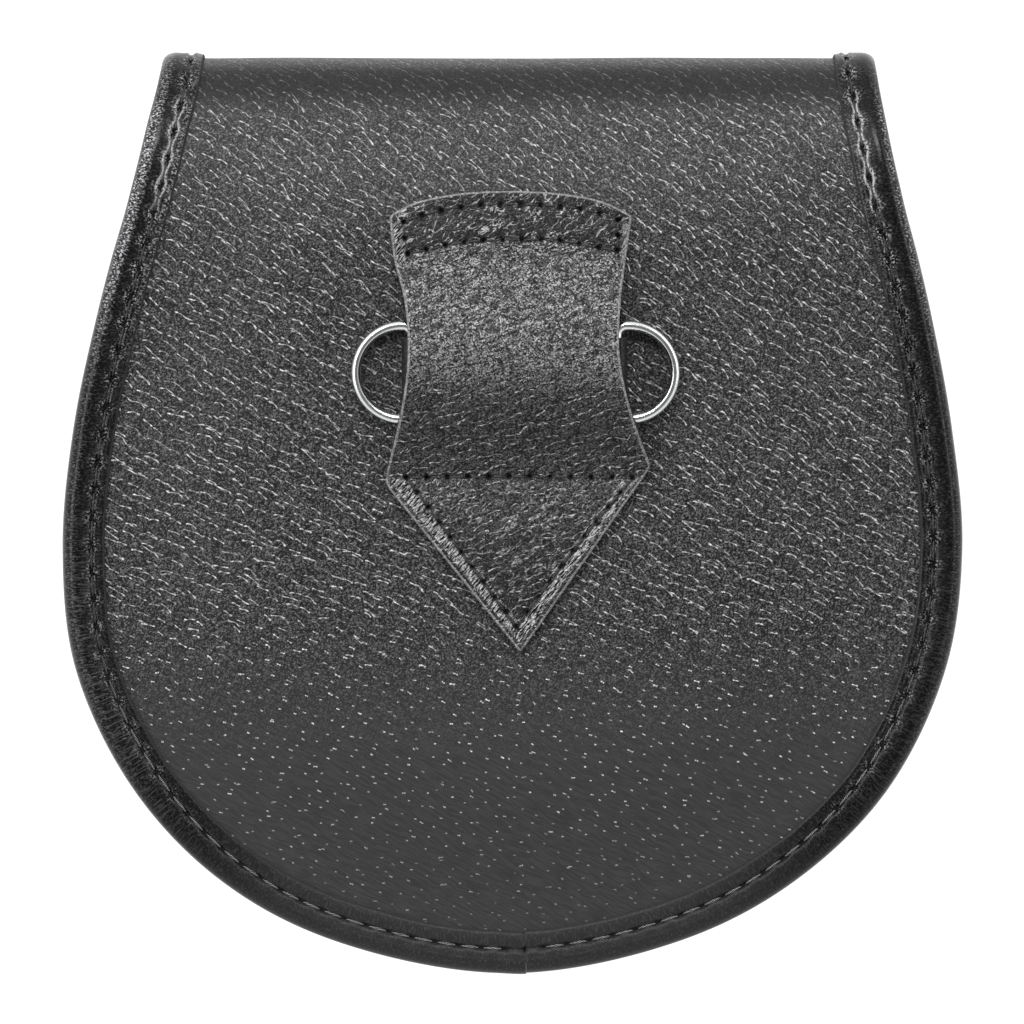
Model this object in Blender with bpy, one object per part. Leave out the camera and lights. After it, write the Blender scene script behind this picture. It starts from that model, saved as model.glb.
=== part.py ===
"""Leather sporran pouch, lying on its front with its back facing up.

+X is to the right and +Y to the top fold as the back is looked at, +Z up from the floor. One sheet
of leather is the back, the fold and the flap. Its shape is drawn flat first, as the sheet would be
cut: x across, and `along`, the way along the leather from the bottom of the back, over the fold, to
the tip of the flap. Sizes are in millimetres and become metres where the meshes are made.
"""

import math

import bpy
import bmesh
from mathutils import Vector

MM = 0.001

# Leathers, wire and the clearance between neighbouring pieces
BACK_LEATHER = 1.8
FRONT_LEATHER = 1.6
GUSSET_LEATHER = 1.2
BINDING_LEATHER = 1.0
TAB_LEATHER = 1.8
KEEPER_LEATHER = 1.0
RING_WIRE = 1.9
GAP = 0.3

# Side view: the level back, the shoulder that slopes to the fold, the fold, and the flap on the floor
BACK_LEVEL = 40.0
SHOULDER_START = 57.6
SHOULDER_RADIUS = 60.0
SHOULDER_TURN = math.radians(40)
SHOULDER_DROP = SHOULDER_RADIUS * (1 - math.cos(SHOULDER_TURN))
FOLD_RADIUS = (BACK_LEVEL - SHOULDER_DROP) / (1 + math.cos(SHOULDER_TURN))
FOLD_CENTRE = SHOULDER_START + (SHOULDER_RADIUS - FOLD_RADIUS) * math.sin(SHOULDER_TURN)
SHOULDER_END = SHOULDER_START + SHOULDER_RADIUS * SHOULDER_TURN
FLAP_START = SHOULDER_END + FOLD_RADIUS * (math.pi - SHOULDER_TURN)
SHOULDER_ROWS = 5
FOLD_ROWS = 9

# Outer edge of the back, binding included, seen from behind: height, left edge, right edge
BACK_OUTLINE = (
    (98.5, -78.7, 81.4),
    (85.1, -81.7, 83.6),
    (71.8, -84.9, 86.4),
    (45.0, -92.0, 92.8),
    (18.3, -97.6, 97.7),
    (-8.5, -100.0, 100.0),
    (-35.2, -97.1, 96.3),
    (-62.0, -84.2, 83.4),
    (-82.0, -65.1, 63.2),
    (-95.4, -40.1, 37.8),
)
BOTTOM = (-0.5, -102.8)
OUTLINE_STEPS = 720
CURVE_STEPS = 40
SIDE_STEPS = 40

# Flap: a rounded tongue, as wide as the fold
FLAP_CENTRE = 1.3
FLAP_HALF_WIDTH = 79.7
FLAP_TIP = -40.0
FLAP_ROUNDNESS = 2.4
FLAP_ANGLES = (0, 18, 34, 48, 61, 72, 82)

# Binding: widths inward from the outline, the swell of its outer roll and its joint at the bottom
BINDING_WIDTH = 9.2
BINDING_ROLL = 6.0
BINDING_CREST = 3.0
BINDING_SHOULDER = 0.85
BINDING_SHOULDER_RISE = 0.62
BINDING_SLOT = 2.0
BINDING_SWELL = 0.45
BINDING_JOINT = 3.1
BINDING_STEP = 9.5
BINDING_THINS = 8.0
SHEET_INSET = BINDING_SLOT + GAP

# Crown of the back and the rim of the flap, which lies in its binding clear of the floor
RIM_WIDTH = 10.0
BACK_CROWN = 3.0
CROWN_WIDTH = 46.0
CROWN_FADE = 40.0
FLAP_RIM = GAP + BINDING_LEATHER
FLAP_RIM_WIDTH = 22.0
FLAP_RIM_RISE = 14.0

# Pouch body under the back: mouth, gusset and front
MOUTH = 57.0
FRONT_LEVEL = 2 * (GAP + BINDING_LEATHER) + BACK_LEATHER + GAP
FRONT_INSET = 9.4
FRONT_BELLY = 4.2
BELLY_START = 8.0
BELLY_RUN = 18.0
GUSSET_WALL = 9.7
GUSSET_BULGE = 1.9
GUSSET_BULGE_ROWS = (0.1, 0.3, 0.5, 0.7, 0.88)
GUSSET_TURN = ((0.8, 0.7), (2.2, 0.0))
GUSSET_LAP = 14.6
GUSSET_STATIONS = 36
BACK_CORNER = -75.0
FLAP_CORNER = 0.66

# Belt tab: height, left edge, right edge
TAB_SIDES = (
    (66.2, -27.2, 26.9),
    (57.0, -26.3, 25.6),
    (47.5, -23.7, 24.4),
    (35.3, -22.8, 24.1),
    (22.5, -24.6, 26.6),
)
TAB_CORNERS = {"left": (-28.4, 6.5), "right": (31.1, 10.0)}
TAB_CROWN = (1.0, 71.6)
TAB_TIP = (2.0, -31.4)
TAB_ARCH = 10.5
ARCH_TOP = 57.8
ARCH_FOOT = 7.7
ARCH_FULLNESS = 1.35

# D rings and the keeper that holds their bars
RING_RADIUS = 11.3
RING_CORNER = 2.0
RING_HEIGHT = 30.6
RING_BARS = {"left": -22.3, "right": 23.2}
RING_ARCS = {"left": -24.4, "right": 25.8}
KEEPER_WIDTH = 15.4
KEEPER_LAP = 10.0
KEEPER_SLOPE = 4.2
BAR_LEVEL = BACK_LEVEL + 2 * GAP + KEEPER_LEATHER + RING_WIRE / 2

# Closure stud between the flap and the front
STUD_PLACE = (FLAP_CENTRE, -9.0)
STUD_RADIUS = 6.5
STUD_WAIST = 4.0
STUD_SIDES = 20

# Stud profile: radius, part of its height
STUD_PROFILE = (
    (STUD_RADIUS, 0.0),
    (STUD_RADIUS, 0.3),
    (STUD_WAIST, 0.4),
    (STUD_WAIST, 0.6),
    (STUD_RADIUS, 0.7),
    (STUD_RADIUS, 1.0),
)

# Finishes: linear grey, roughness, metalness
FINISHES = {
    "grained_black_leather": (0.020, 0.5, 0.0),
    "smooth_black_leather": (0.012, 0.4, 0.0),
    "tab_leather": (0.030, 0.5, 0.0),
    "chromed_steel": (0.62, 0.15, 1.0),
}

# How the sheets are divided: parts of the way across, up from a round end, or down the tab
ACROSS = (0.0, 0.05, 0.11, 0.18, 0.26, 0.34, 0.42, 0.5, 0.58, 0.66, 0.74, 0.82, 0.89, 0.95, 1.0)
BACK_UP = (0.0, 0.06, 0.13, 0.21, 0.3, 0.4, 0.5, 0.6, 0.7, 0.8, 0.9, 1.0)
FLAP_UP = (0.0, 0.08, 0.16, 0.26, 0.38, 0.52, 0.66, 0.8, 0.9, 1.0)
FRONT_UP = (0.0, 0.08, 0.16, 0.24, 0.32, 0.4, 0.5, 0.6, 0.72, 0.86, 1.0)
TAB_ACROSS = (0.0, 0.08, 0.2, 0.35, 0.5, 0.65, 0.8, 0.92, 1.0)
TAB_DOWN = (0.0, 0.045, 0.09, *(0.13 + 0.04 * k for k in range(13)), 0.68, 0.76, 0.84, 0.92, 1.0)


def mix(a, b, part):
    """The point or number a given part of the way from a to b."""
    if isinstance(a, tuple):
        return tuple(mix(p, q, part) for p, q in zip(a, b))
    return a + (b - a) * part


def ease(value):
    """0 below 0, 1 above 1, and smooth between."""
    value = min(1.0, max(0.0, value))
    return value * value * (3 - 2 * value)


def profile(along):
    """Side view of the sheet's outer face: y, z and the outward normal's y and z."""
    turn = (along - SHOULDER_START) / SHOULDER_RADIUS
    if turn <= 0:
        return along, BACK_LEVEL, 0.0, 1.0
    if turn <= SHOULDER_TURN:
        y = SHOULDER_START + SHOULDER_RADIUS * math.sin(turn)
        z = BACK_LEVEL - SHOULDER_RADIUS * (1 - math.cos(turn))
        return y, z, math.sin(turn), math.cos(turn)
    turn = SHOULDER_TURN + (along - SHOULDER_END) / FOLD_RADIUS
    if turn < math.pi:
        y = FOLD_CENTRE + FOLD_RADIUS * math.sin(turn)
        z = FOLD_RADIUS * (1 + math.cos(turn))
        return y, z, math.sin(turn), math.cos(turn)
    return FOLD_CENTRE - (along - FLAP_START), 0.0, 0.0, -1.0


def along_at(height):
    """How far along the leather the outer face reaches a height on the back."""
    if height <= SHOULDER_START:
        return height
    turn = math.asin((height - SHOULDER_START) / SHOULDER_RADIUS)
    if turn <= SHOULDER_TURN:
        return SHOULDER_START + SHOULDER_RADIUS * turn
    turn = math.asin((height - FOLD_CENTRE) / FOLD_RADIUS)
    return SHOULDER_END + FOLD_RADIUS * (turn - SHOULDER_TURN)


def flap_side(side):
    """Points of one edge of the flap, from the fold to near its tip."""
    length = FOLD_CENTRE - FLAP_TIP
    power = 2 / FLAP_ROUNDNESS
    points = []
    for degrees in FLAP_ANGLES:
        angle = math.radians(degrees)
        across = FLAP_HALF_WIDTH * math.cos(angle) ** power
        points.append((FLAP_CENTRE + side * across, FLAP_START + length * math.sin(angle) ** power))
    return points


def smooth_line(points, closed=False):
    """A smooth curve through the points, open or closed, as many short steps."""
    count = len(points)
    if not closed:
        points = [points[0]] + list(points) + [points[-1]]
    corners = [Vector(p) for p in points]
    spans = count if closed else count - 1
    first = 0 if closed else 1
    line = []
    for i in range(first, first + spans):
        a, b, c, d = (corners[(i + k) % len(corners)] for k in (-1, 0, 1, 2))
        here = math.sqrt((c - b).length)
        before = math.sqrt((b - a).length) or here
        after = math.sqrt((d - c).length) or here
        leave = ((c - b) / here - (c - a) / (before + here) + (b - a) / before) * here
        reach = ((d - c) / after - (d - b) / (here + after) + (c - b) / here) * here
        for k in range(CURVE_STEPS):
            t = k / CURVE_STEPS
            line.append(
                b * (2 * t**3 - 3 * t**2 + 1)
                + leave * (t**3 - 2 * t**2 + t)
                + c * (3 * t**2 - 2 * t**3)
                + reach * (t**3 - t**2)
            )
    return line + [Vector(points[0] if closed else points[-1])]


def even_steps(line, count):
    """The same line as `count` evenly spaced points."""
    lengths = [0.0]
    for p, q in zip(line, line[1:]):
        lengths.append(lengths[-1] + (Vector(q) - Vector(p)).length)
    points = []
    i = 0
    for k in range(count):
        wanted = lengths[-1] * k / (count - 1)
        while i < len(line) - 2 and lengths[i + 1] < wanted:
            i += 1
        part = (wanted - lengths[i]) / (lengths[i + 1] - lengths[i])
        points.append(mix(tuple(line[i]), tuple(line[i + 1]), part))
    return points


def sheet_outline():
    """The bound sheet's edge, flat: from the bottom up the right, round the flap and down the left."""
    right = [(row[2], along_at(row[0])) for row in reversed(BACK_OUTLINE)]
    left = [(row[1], along_at(row[0])) for row in BACK_OUTLINE]
    tip = (FLAP_CENTRE, FLAP_START + FOLD_CENTRE - FLAP_TIP)
    points = [BOTTOM] + right + flap_side(1) + [tip] + flap_side(-1)[::-1] + left
    return even_steps(smooth_line(points, closed=True), OUTLINE_STEPS + 1)[:-1]


OUTLINE = sheet_outline()
TIP_INDEX = max(range(OUTLINE_STEPS), key=lambda i: OUTLINE[i][1])


def inward(index):
    """Unit vector across the sheet, in from the outline, at one of its points."""
    step = Vector(OUTLINE[(index + 1) % OUTLINE_STEPS]) - Vector(OUTLINE[index - 1])
    step.normalize()
    return -step.y, step.x


INWARD = [inward(i) for i in range(OUTLINE_STEPS)]


def inset_outline(inset):
    """The outline moved in over the sheet."""
    return [(p[0] + inset * n[0], p[1] + inset * n[1]) for p, n in zip(OUTLINE, INWARD)]


def edge_at(inset, along, side):
    """The point of the inset outline at a distance along the leather, on the left or the right."""
    line = inset_outline(inset)
    half = line[: TIP_INDEX + 1] if side == "right" else line[TIP_INDEX:][::-1]
    for p, q in zip(half, half[1:]):
        if p[1] <= along <= q[1]:
            return mix(p, q, (along - p[1]) / (q[1] - p[1]))
    raise ValueError("the outline does not reach that far")


def outline_place(part):
    """The outline's point and inward vector a given part of the way round."""
    place = part * OUTLINE_STEPS
    i = math.floor(place) % OUTLINE_STEPS
    j = (i + 1) % OUTLINE_STEPS
    return mix(OUTLINE[i], OUTLINE[j], place % 1), mix(INWARD[i], INWARD[j], place % 1)


def part_at(along, side):
    """How much of the way round one side of the outline is that far along the leather."""
    here = edge_at(0, along, side)
    i = min(range(OUTLINE_STEPS), key=lambda k: math.dist(OUTLINE[k], here))
    if (OUTLINE[i][1] < along) != (side == "right"):
        i -= 1
    return (i + math.dist(OUTLINE[i], here) / math.dist(OUTLINE[i], OUTLINE[i + 1])) / OUTLINE_STEPS


def edge_run(inset, start, end):
    """The stretch of the inset outline from one of its points round to another, in even steps."""
    line = inset_outline(inset)

    def nearest(point):
        return min(range(OUTLINE_STEPS), key=lambda i: math.dist(line[i], point))

    first, last = nearest(start), nearest(end)
    if last < first:
        last += OUTLINE_STEPS
    between = [line[i % OUTLINE_STEPS] for i in range(first + 1, last)]
    return even_steps([start] + between + [end], OUTLINE_STEPS)


def point_on(line, part):
    """The point a given part of the way along a line of evenly spaced points."""
    place = part * (len(line) - 1)
    i = min(int(place), len(line) - 2)
    return mix(line[i], line[i + 1], place - i)


def patch_rows(lower, upper, left, right, across, up):
    """Rows of points that fill the space between four lines which meet at their corners."""
    rows = []
    for t in up:
        row = []
        for s in across:
            edges = Vector(mix(point_on(lower, s), point_on(upper, s), t))
            edges += Vector(mix(point_on(left, t), point_on(right, t), s))
            corners = mix(mix(lower[0], lower[-1], s), mix(upper[0], upper[-1], s), t)
            row.append(tuple(edges - Vector(corners)))
        rows.append(row)
    return rows


def side_line(inset, start, end, side):
    """One side of the inset outline between two distances along the leather."""
    return [edge_at(inset, mix(start, end, k / SIDE_STEPS), side) for k in range(SIDE_STEPS + 1)]


def round_ended_rows(inset, straight, corner, across, up):
    """Rows that fill the back or the flap, from its round end's edge to a straight row across the sheet."""
    left = side_line(inset, corner, straight, "left")
    right = side_line(inset, corner, straight, "right")
    if corner < straight:
        end = edge_run(inset, left[0], right[0])
    else:
        end = edge_run(inset, right[0], left[0])[::-1]
    return patch_rows(end, [left[-1], right[-1]], left, right, across, up)


def rim_distance(x, along):
    """How far inside the outline a point of the sheet lies."""
    return min(math.dist((x, along), p) for p in OUTLINE)


def sink(along, rim):
    """How far the leather lies inward of the plain side view, near its edges."""
    crown = ease((CROWN_WIDTH - rim) / (CROWN_WIDTH - RIM_WIDTH))
    crown *= 1 - ease((along - SHOULDER_START) / CROWN_FADE)
    flat_rim = ease((FLAP_RIM_WIDTH - rim) / (FLAP_RIM_WIDTH - RIM_WIDTH))
    flat_rim *= ease((along - FLAP_START) / FLAP_RIM_RISE + 1)
    return BACK_CROWN * crown + FLAP_RIM * flat_rim


def on_sheet(flat, height=0.0, rim=None):
    """A point of the sheet's outer face, or at a height over it, in space."""
    x, along = flat
    y, z, normal_y, normal_z = profile(along)
    height -= sink(along, rim_distance(x, along) if rim is None else rim)
    return x, y + height * normal_y, z + height * normal_z


def make_material(name):
    """One of the finishes as a material."""
    grey, roughness, metallic = FINISHES[name]
    material = bpy.data.materials.new(name)
    material.use_nodes = True
    shader = material.node_tree.nodes["Principled BSDF"]
    shader.inputs["Base Color"].default_value = (grey, grey, grey, 1.0)
    shader.inputs["Roughness"].default_value = roughness
    shader.inputs["Metallic"].default_value = metallic
    material.diffuse_color = (grey, grey, grey, 1.0)
    return material


def add_object(name, shape, material):
    """Puts a mesh or curve in the scene under its part's name."""
    shape.materials.append(material)
    thing = bpy.data.objects.new(name, shape)
    bpy.context.scene.collection.objects.link(thing)
    return thing


def mesh_of(name, rows, closed_rows=False, capped=False, sharp=35):
    """A mesh of faces between the rows of points, which are given in millimetres."""
    shape = bmesh.new()
    grid = [[shape.verts.new(Vector(p) * MM) for p in row] for row in rows]
    width = len(rows[0])
    for row, following in zip(grid, grid[1:]):
        for i in range(width if closed_rows else width - 1):
            j = (i + 1) % width
            shape.faces.new((row[i], row[j], following[j], following[i]))
    if capped:
        shape.faces.new(grid[0][::-1])
        shape.faces.new(grid[-1])
    mesh = bpy.data.meshes.new(name)
    shape.to_mesh(mesh)
    shape.free()
    mesh.shade_smooth()
    mesh.set_sharp_from_angle(angle=math.radians(sharp))
    return mesh


def add_leather(name, rows, thickness, material):
    """A sheet whose given face points outward and whose thickness lies behind it."""
    thing = add_object(name, mesh_of(name, rows), material)
    wall = thing.modifiers.new("leather", "SOLIDIFY")
    wall.thickness = thickness * MM
    wall.offset = -1
    wall.use_even_offset = True
    return thing


def bend_rows():
    """Distances along the leather of the straight rows over the shoulder and the fold."""
    shoulder = [mix(SHOULDER_START, SHOULDER_END, k / SHOULDER_ROWS) for k in range(SHOULDER_ROWS)]
    return shoulder + [mix(SHOULDER_END, FLAP_START, k / FOLD_ROWS) for k in range(FOLD_ROWS + 1)]


def back_and_flap(material):
    """The big sheet: back, shoulder, fold and flap."""
    rows = round_ended_rows(SHEET_INSET, SHOULDER_START, BACK_CORNER, ACROSS, BACK_UP)
    for along in bend_rows()[1:]:
        ends = (edge_at(SHEET_INSET, along, "left"), edge_at(SHEET_INSET, along, "right"))
        rows.append([mix(*ends, s) for s in ACROSS])
    corner = mix(FLAP_START, OUTLINE[TIP_INDEX][1], FLAP_CORNER)
    rows += round_ended_rows(SHEET_INSET, FLAP_START, corner, ACROSS, FLAP_UP)[::-1][1:]
    points = [[on_sheet(flat) for flat in row] for row in rows]
    return add_leather("back_and_flap", points, BACK_LEATHER, material)


def beyond_flap(x, y):
    """How far a point of the front lies outside the flap, seen from above."""
    across = abs((x - FLAP_CENTRE) / FLAP_HALF_WIDTH)
    down = (FOLD_CENTRE - y) / (FOLD_CENTRE - FLAP_TIP)
    if across**FLAP_ROUNDNESS + down**FLAP_ROUNDNESS <= 1:
        return 0.0
    return rim_distance(x, FLAP_START + FOLD_CENTRE - y)


def front_point(flat):
    """A point of the front's outer face, which bellies to the floor past the flap."""
    x, y = flat
    belly = ease((beyond_flap(x, y) - BELLY_START) / BELLY_RUN)
    belly *= ease((rim_distance(x, y) - GUSSET_LAP) / BELLY_RUN)
    return x, y, FRONT_LEVEL - FRONT_BELLY * belly


def front_panel(material):
    """The front of the pouch, whose outer face looks down."""
    rows = round_ended_rows(FRONT_INSET, MOUTH, BACK_CORNER, ACROSS, FRONT_UP)[::-1]
    points = [[front_point(flat) for flat in row] for row in rows]
    return add_leather("front_panel", points, FRONT_LEATHER, material)


def gusset(material):
    """The strip between back and front: flange under the back, bulging wall and lap on the front."""
    flange = BACK_LEVEL - BACK_CROWN - BACK_LEATHER - GAP - GUSSET_LEATHER
    lap = FRONT_LEVEL + FRONT_LEATHER + GAP
    section = [(SHEET_INSET, flange), (GUSSET_WALL, flange)]
    for part in GUSSET_BULGE_ROWS:
        section.append((GUSSET_WALL - GUSSET_BULGE * math.sin(math.pi * part), mix(flange, lap, part)))
    section += [(GUSSET_WALL + inward_by, lap + rise) for inward_by, rise in GUSSET_TURN]
    section.append((GUSSET_LAP, lap))
    first = part_at(MOUTH, "left") - 1
    last = part_at(MOUTH, "right")
    rows = []
    for k in range(GUSSET_STATIONS + 1):
        (x, y), (in_x, in_y) = outline_place(mix(first, last, k / GUSSET_STATIONS))
        rows.append([(x + n * in_x, y + n * in_y, z) for n, z in section])
    return add_leather("gusset", rows, GUSSET_LEATHER, material)


def binding_section(along):
    """The binding's section: inward from the outline and height over the leather's outer face."""
    flange = (GAP + GUSSET_LEATHER) * (1 - ease((along - SHOULDER_START) / BINDING_THINS - 1))
    swell = BINDING_SWELL * (1 - ease((along - SHOULDER_START) / (SHOULDER_END - SHOULDER_START)))
    top = GAP + BINDING_LEATHER
    low = -BACK_LEATHER - flange - GAP
    bottom = low - BINDING_LEATHER
    middle = (top + bottom) / 2
    return (
        (BINDING_WIDTH, top),
        (BINDING_ROLL, top),
        (BINDING_CREST, top + swell),
        (BINDING_SHOULDER, mix(middle, top, BINDING_SHOULDER_RISE)),
        (0.0, middle),
        (BINDING_SHOULDER, mix(middle, bottom, BINDING_SHOULDER_RISE)),
        (BINDING_CREST, bottom - swell),
        (BINDING_ROLL, bottom),
        (BINDING_WIDTH, bottom),
        (BINDING_WIDTH, low),
        (BINDING_SLOT, low),
        (BINDING_SLOT, GAP),
        (BINDING_WIDTH, GAP),
    )


def binding_stations():
    """Where the binding's sections stand, as parts of the way round: at the sheet's rows over the bends."""
    length = math.dist(OUTLINE[0], OUTLINE[1]) * OUTLINE_STEPS
    joint = min(range(OUTLINE_STEPS // 2), key=lambda i: abs(OUTLINE[i][0] - BINDING_JOINT)) / OUTLINE_STEPS
    half_gap = GAP / 2 / length
    bends = [part_at(along, "right") for along in bend_rows()]
    bends += [part_at(along, "left") for along in reversed(bend_rows())]
    ends = [joint + half_gap] + bends + [joint + 1 - half_gap]
    stations = []
    for start, end in zip(ends, ends[1:]):
        count = max(1, round((end - start) * length / BINDING_STEP))
        stations += [mix(start, end, k / count) for k in range(count)]
    return stations + [ends[-1]]


def edge_binding(material):
    """The folded strip round the whole sheet, open to the sheet's edge, with a butt joint at the bottom."""
    rows = []
    for part in binding_stations():
        (x, along), (in_x, in_along) = outline_place(part)
        rows.append([
            on_sheet((x + n * in_x, along + n * in_along), height, rim=n)
            for n, height in binding_section(along)
        ])
    mesh = mesh_of("edge_binding", rows, closed_rows=True, capped=True)
    return add_object("edge_binding", mesh, material)


def tab_point(flat):
    """A point of the tab's under face: flat on the back where it is sewn, arched between."""
    x, y = flat
    middle = (ARCH_TOP + ARCH_FOOT) / 2
    reach = min(1.0, abs(y - middle) / (ARCH_TOP - middle)) ** ARCH_FULLNESS
    return on_sheet((x, along_at(y)), GAP + TAB_ARCH * 0.5 * (1 + math.cos(math.pi * reach)))


def belt_tab(material):
    """The tab on the back, whose under face looks down."""
    left = smooth_line([(row[1], row[0]) for row in TAB_SIDES] + [TAB_CORNERS["left"]])
    right = smooth_line([(row[2], row[0]) for row in TAB_SIDES] + [TAB_CORNERS["right"]])
    top = smooth_line([tuple(left[0]), TAB_CROWN, tuple(right[0])])
    foot = [TAB_CORNERS["left"], TAB_TIP, TAB_CORNERS["right"]]
    top, left, right = (even_steps(line, SIDE_STEPS + 1) for line in (top, left, right))
    rows = patch_rows(top, foot, left, right, TAB_ACROSS, TAB_DOWN)
    points = [[tab_point(flat) for flat in row] for row in rows]
    return add_leather("belt_tab", points, TAB_LEATHER, material)


def arc(centre, radius, start, end, step):
    """Points of an arc between two angles in degrees."""
    turns = range(start, end + (1 if step > 0 else -1), step)
    return [
        (centre[0] + radius * math.cos(math.radians(turn)), centre[1] + radius * math.sin(math.radians(turn)))
        for turn in turns
    ]


def keeper_end(side):
    """One end of the keeper in side view: the lap on top, round the bar and in under it."""
    out = -1 if side == "left" else 1
    bar = RING_BARS[side]
    radius = RING_WIRE / 2 + GAP + KEEPER_LEATHER
    lap_level = BACK_LEVEL + 2 * (GAP + KEEPER_LEATHER)
    loop = [(bar + out * across, level) for across, level in arc((0, BAR_LEVEL), radius, 120, -90, -30)]
    return [(bar - out * KEEPER_LAP, lap_level), (bar - out * KEEPER_SLOPE, lap_level)] + loop


def ring_keeper(material):
    """The strip under the tab, folded round the bar of each ring."""
    path = keeper_end("right") + keeper_end("left")[::-1]
    edges = (RING_HEIGHT - KEEPER_WIDTH / 2, RING_HEIGHT + KEEPER_WIDTH / 2)
    rows = [[(x, y, z) for x, z in path] for y in edges]
    return add_leather("ring_keeper", rows, KEEPER_LEATHER, material)


def d_ring(side, material):
    """A wire D: bar, corners, legs and round bow. Its origin is on the bar, and it lies on the leather."""
    out = -1 if side == "left" else 1
    radius = RING_RADIUS - RING_WIRE / 2
    reach = abs(RING_ARCS[side] - RING_BARS[side])
    points = arc((RING_CORNER, RING_CORNER - radius), RING_CORNER, 180, 270, 30)
    points += arc((reach, 0), radius, -90, 90, 15)
    points += arc((RING_CORNER, radius - RING_CORNER), RING_CORNER, 90, 180, 30)
    wire = bpy.data.curves.new("d_ring_" + side, "CURVE")
    wire.dimensions = "3D"
    wire.bevel_depth = RING_WIRE / 2 * MM
    wire.bevel_resolution = 3
    spline = wire.splines.new("POLY")
    spline.points.add(len(points) - 1)
    spline.use_cyclic_u = True
    for point, (across, up) in zip(spline.points, points):
        point.co = (out * across * MM, up * MM, 0.0, 1.0)
    ring = add_object("d_ring_" + side, wire, material)
    ring.location = Vector((RING_BARS[side], RING_HEIGHT, BAR_LEVEL)) * MM
    drop = BAR_LEVEL - RING_WIRE / 2 - GAP - BACK_LEVEL
    ring.rotation_euler.y = out * math.asin(drop / (reach + radius))
    return ring


def flap_stud(material):
    """The closure between the flap and the front: a plain waisted stud."""
    low = BACK_LEATHER + GAP
    high = FRONT_LEVEL - GAP
    rows = []
    for radius, part in STUD_PROFILE:
        circle = arc(STUD_PLACE, radius, 0, 359, 360 // STUD_SIDES)
        rows.append([(x, y, mix(low, high, part)) for x, y in circle])
    return add_object("flap_stud", mesh_of("flap_stud", rows, closed_rows=True, capped=True), material)


def build():
    """Clears the scene and makes every piece."""
    for thing in list(bpy.data.objects):
        bpy.data.objects.remove(thing, do_unlink=True)
    grained = make_material("grained_black_leather")
    smooth = make_material("smooth_black_leather")
    tab_leather = make_material("tab_leather")
    chrome = make_material("chromed_steel")
    back_and_flap(grained)
    front_panel(grained)
    gusset(smooth)
    edge_binding(smooth)
    belt_tab(tab_leather)
    ring_keeper(tab_leather)
    d_ring("left", chrome)
    d_ring("right", chrome)
    flap_stud(chrome)


build()
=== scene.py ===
import math
import bpy
import numpy as np
from mathutils import Matrix, Vector, noise
from mathutils.kdtree import KDTree


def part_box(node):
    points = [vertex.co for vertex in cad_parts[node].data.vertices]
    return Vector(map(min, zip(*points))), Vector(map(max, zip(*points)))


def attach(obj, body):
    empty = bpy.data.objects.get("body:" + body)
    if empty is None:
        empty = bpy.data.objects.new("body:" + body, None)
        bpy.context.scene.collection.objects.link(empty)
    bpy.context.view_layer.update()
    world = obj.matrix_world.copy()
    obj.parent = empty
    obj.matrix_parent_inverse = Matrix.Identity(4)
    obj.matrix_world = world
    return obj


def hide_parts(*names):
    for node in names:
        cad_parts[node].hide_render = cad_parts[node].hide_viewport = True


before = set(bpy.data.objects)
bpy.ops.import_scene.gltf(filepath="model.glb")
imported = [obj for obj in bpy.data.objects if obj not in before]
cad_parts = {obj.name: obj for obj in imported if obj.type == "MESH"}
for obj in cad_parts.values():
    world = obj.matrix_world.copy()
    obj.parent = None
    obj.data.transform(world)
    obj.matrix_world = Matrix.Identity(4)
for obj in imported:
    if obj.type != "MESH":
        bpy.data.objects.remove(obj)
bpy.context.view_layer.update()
mm = 0.001


# ---- small helpers ----

def linear(hexColour):  # sRGB hex to the linear colour that a shader takes
    shares = [int(hexColour[i:i + 2], 16) / 255 for i in (1, 3, 5)]
    return [c / 12.92 if c <= 0.04045 else ((c + 0.055) / 1.055) ** 2.4 for c in shares] + [1.0]


def mix(a, b, part):
    return a + (b - a) * part


def ease(value):  # 0 below 0, 1 above 1, smooth between
    value = np.clip(value, 0, 1)
    return value * value * (3 - 2 * value)


def ramp(value, first, last):  # 0 at the first value, 1 at the last, which may be the smaller one
    return ease((value - first) / (last - first))


def bell(value, width):  # 1 at 0, falling off within the width
    return np.exp(-((value / width) ** 2))


def profile(value, stops):  # smooth steps from stop to stop, each a value and what it gives
    places, strengths = np.array(stops).T
    i = np.clip(np.searchsorted(places, value) - 1, 0, len(places) - 2)
    return mix(strengths[i], strengths[i + 1], ramp(value, places[i], places[i + 1]))


def plug(tree, socket, value):  # takes a value, a hex colour, a socket, or a node for its first output
    if isinstance(value, bpy.types.Node):
        value = value.outputs[0]
    if isinstance(value, bpy.types.NodeSocket):
        tree.links.new(value, socket)
    else:
        socket.default_value = linear(value) if isinstance(value, str) else value


def addNode(tree, kind, inputs=None, **settings):
    node = tree.nodes.new("ShaderNode" + kind)
    for name, value in settings.items():
        setattr(node, name, value)
    for socket, value in (inputs or {}).items():
        plug(tree, node.inputs[socket], value)
    return node


def combine(tree, operation, *values, kind="Math"):
    return addNode(tree, kind, dict(enumerate(values)), operation=operation)


def spread(tree, value, low=0.0, high=1.0, first=0.0, last=1.0, **settings):  # one range to another
    return addNode(tree, "MapRange", {0: value, 1: low, 2: high, 3: first, 4: last}, **settings)


def setShader(material, **inputs):
    shader = material.node_tree.nodes["Principled BSDF"]
    for name, value in inputs.items():
        plug(material.node_tree, shader.inputs[name.replace("_", " ")], value)


def newMaterial(name, **inputs):
    material = bpy.data.materials.new(name)
    material.use_nodes = True
    setShader(material, **inputs)
    return material, material.node_tree


# ---- camera and studio light ----

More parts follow.
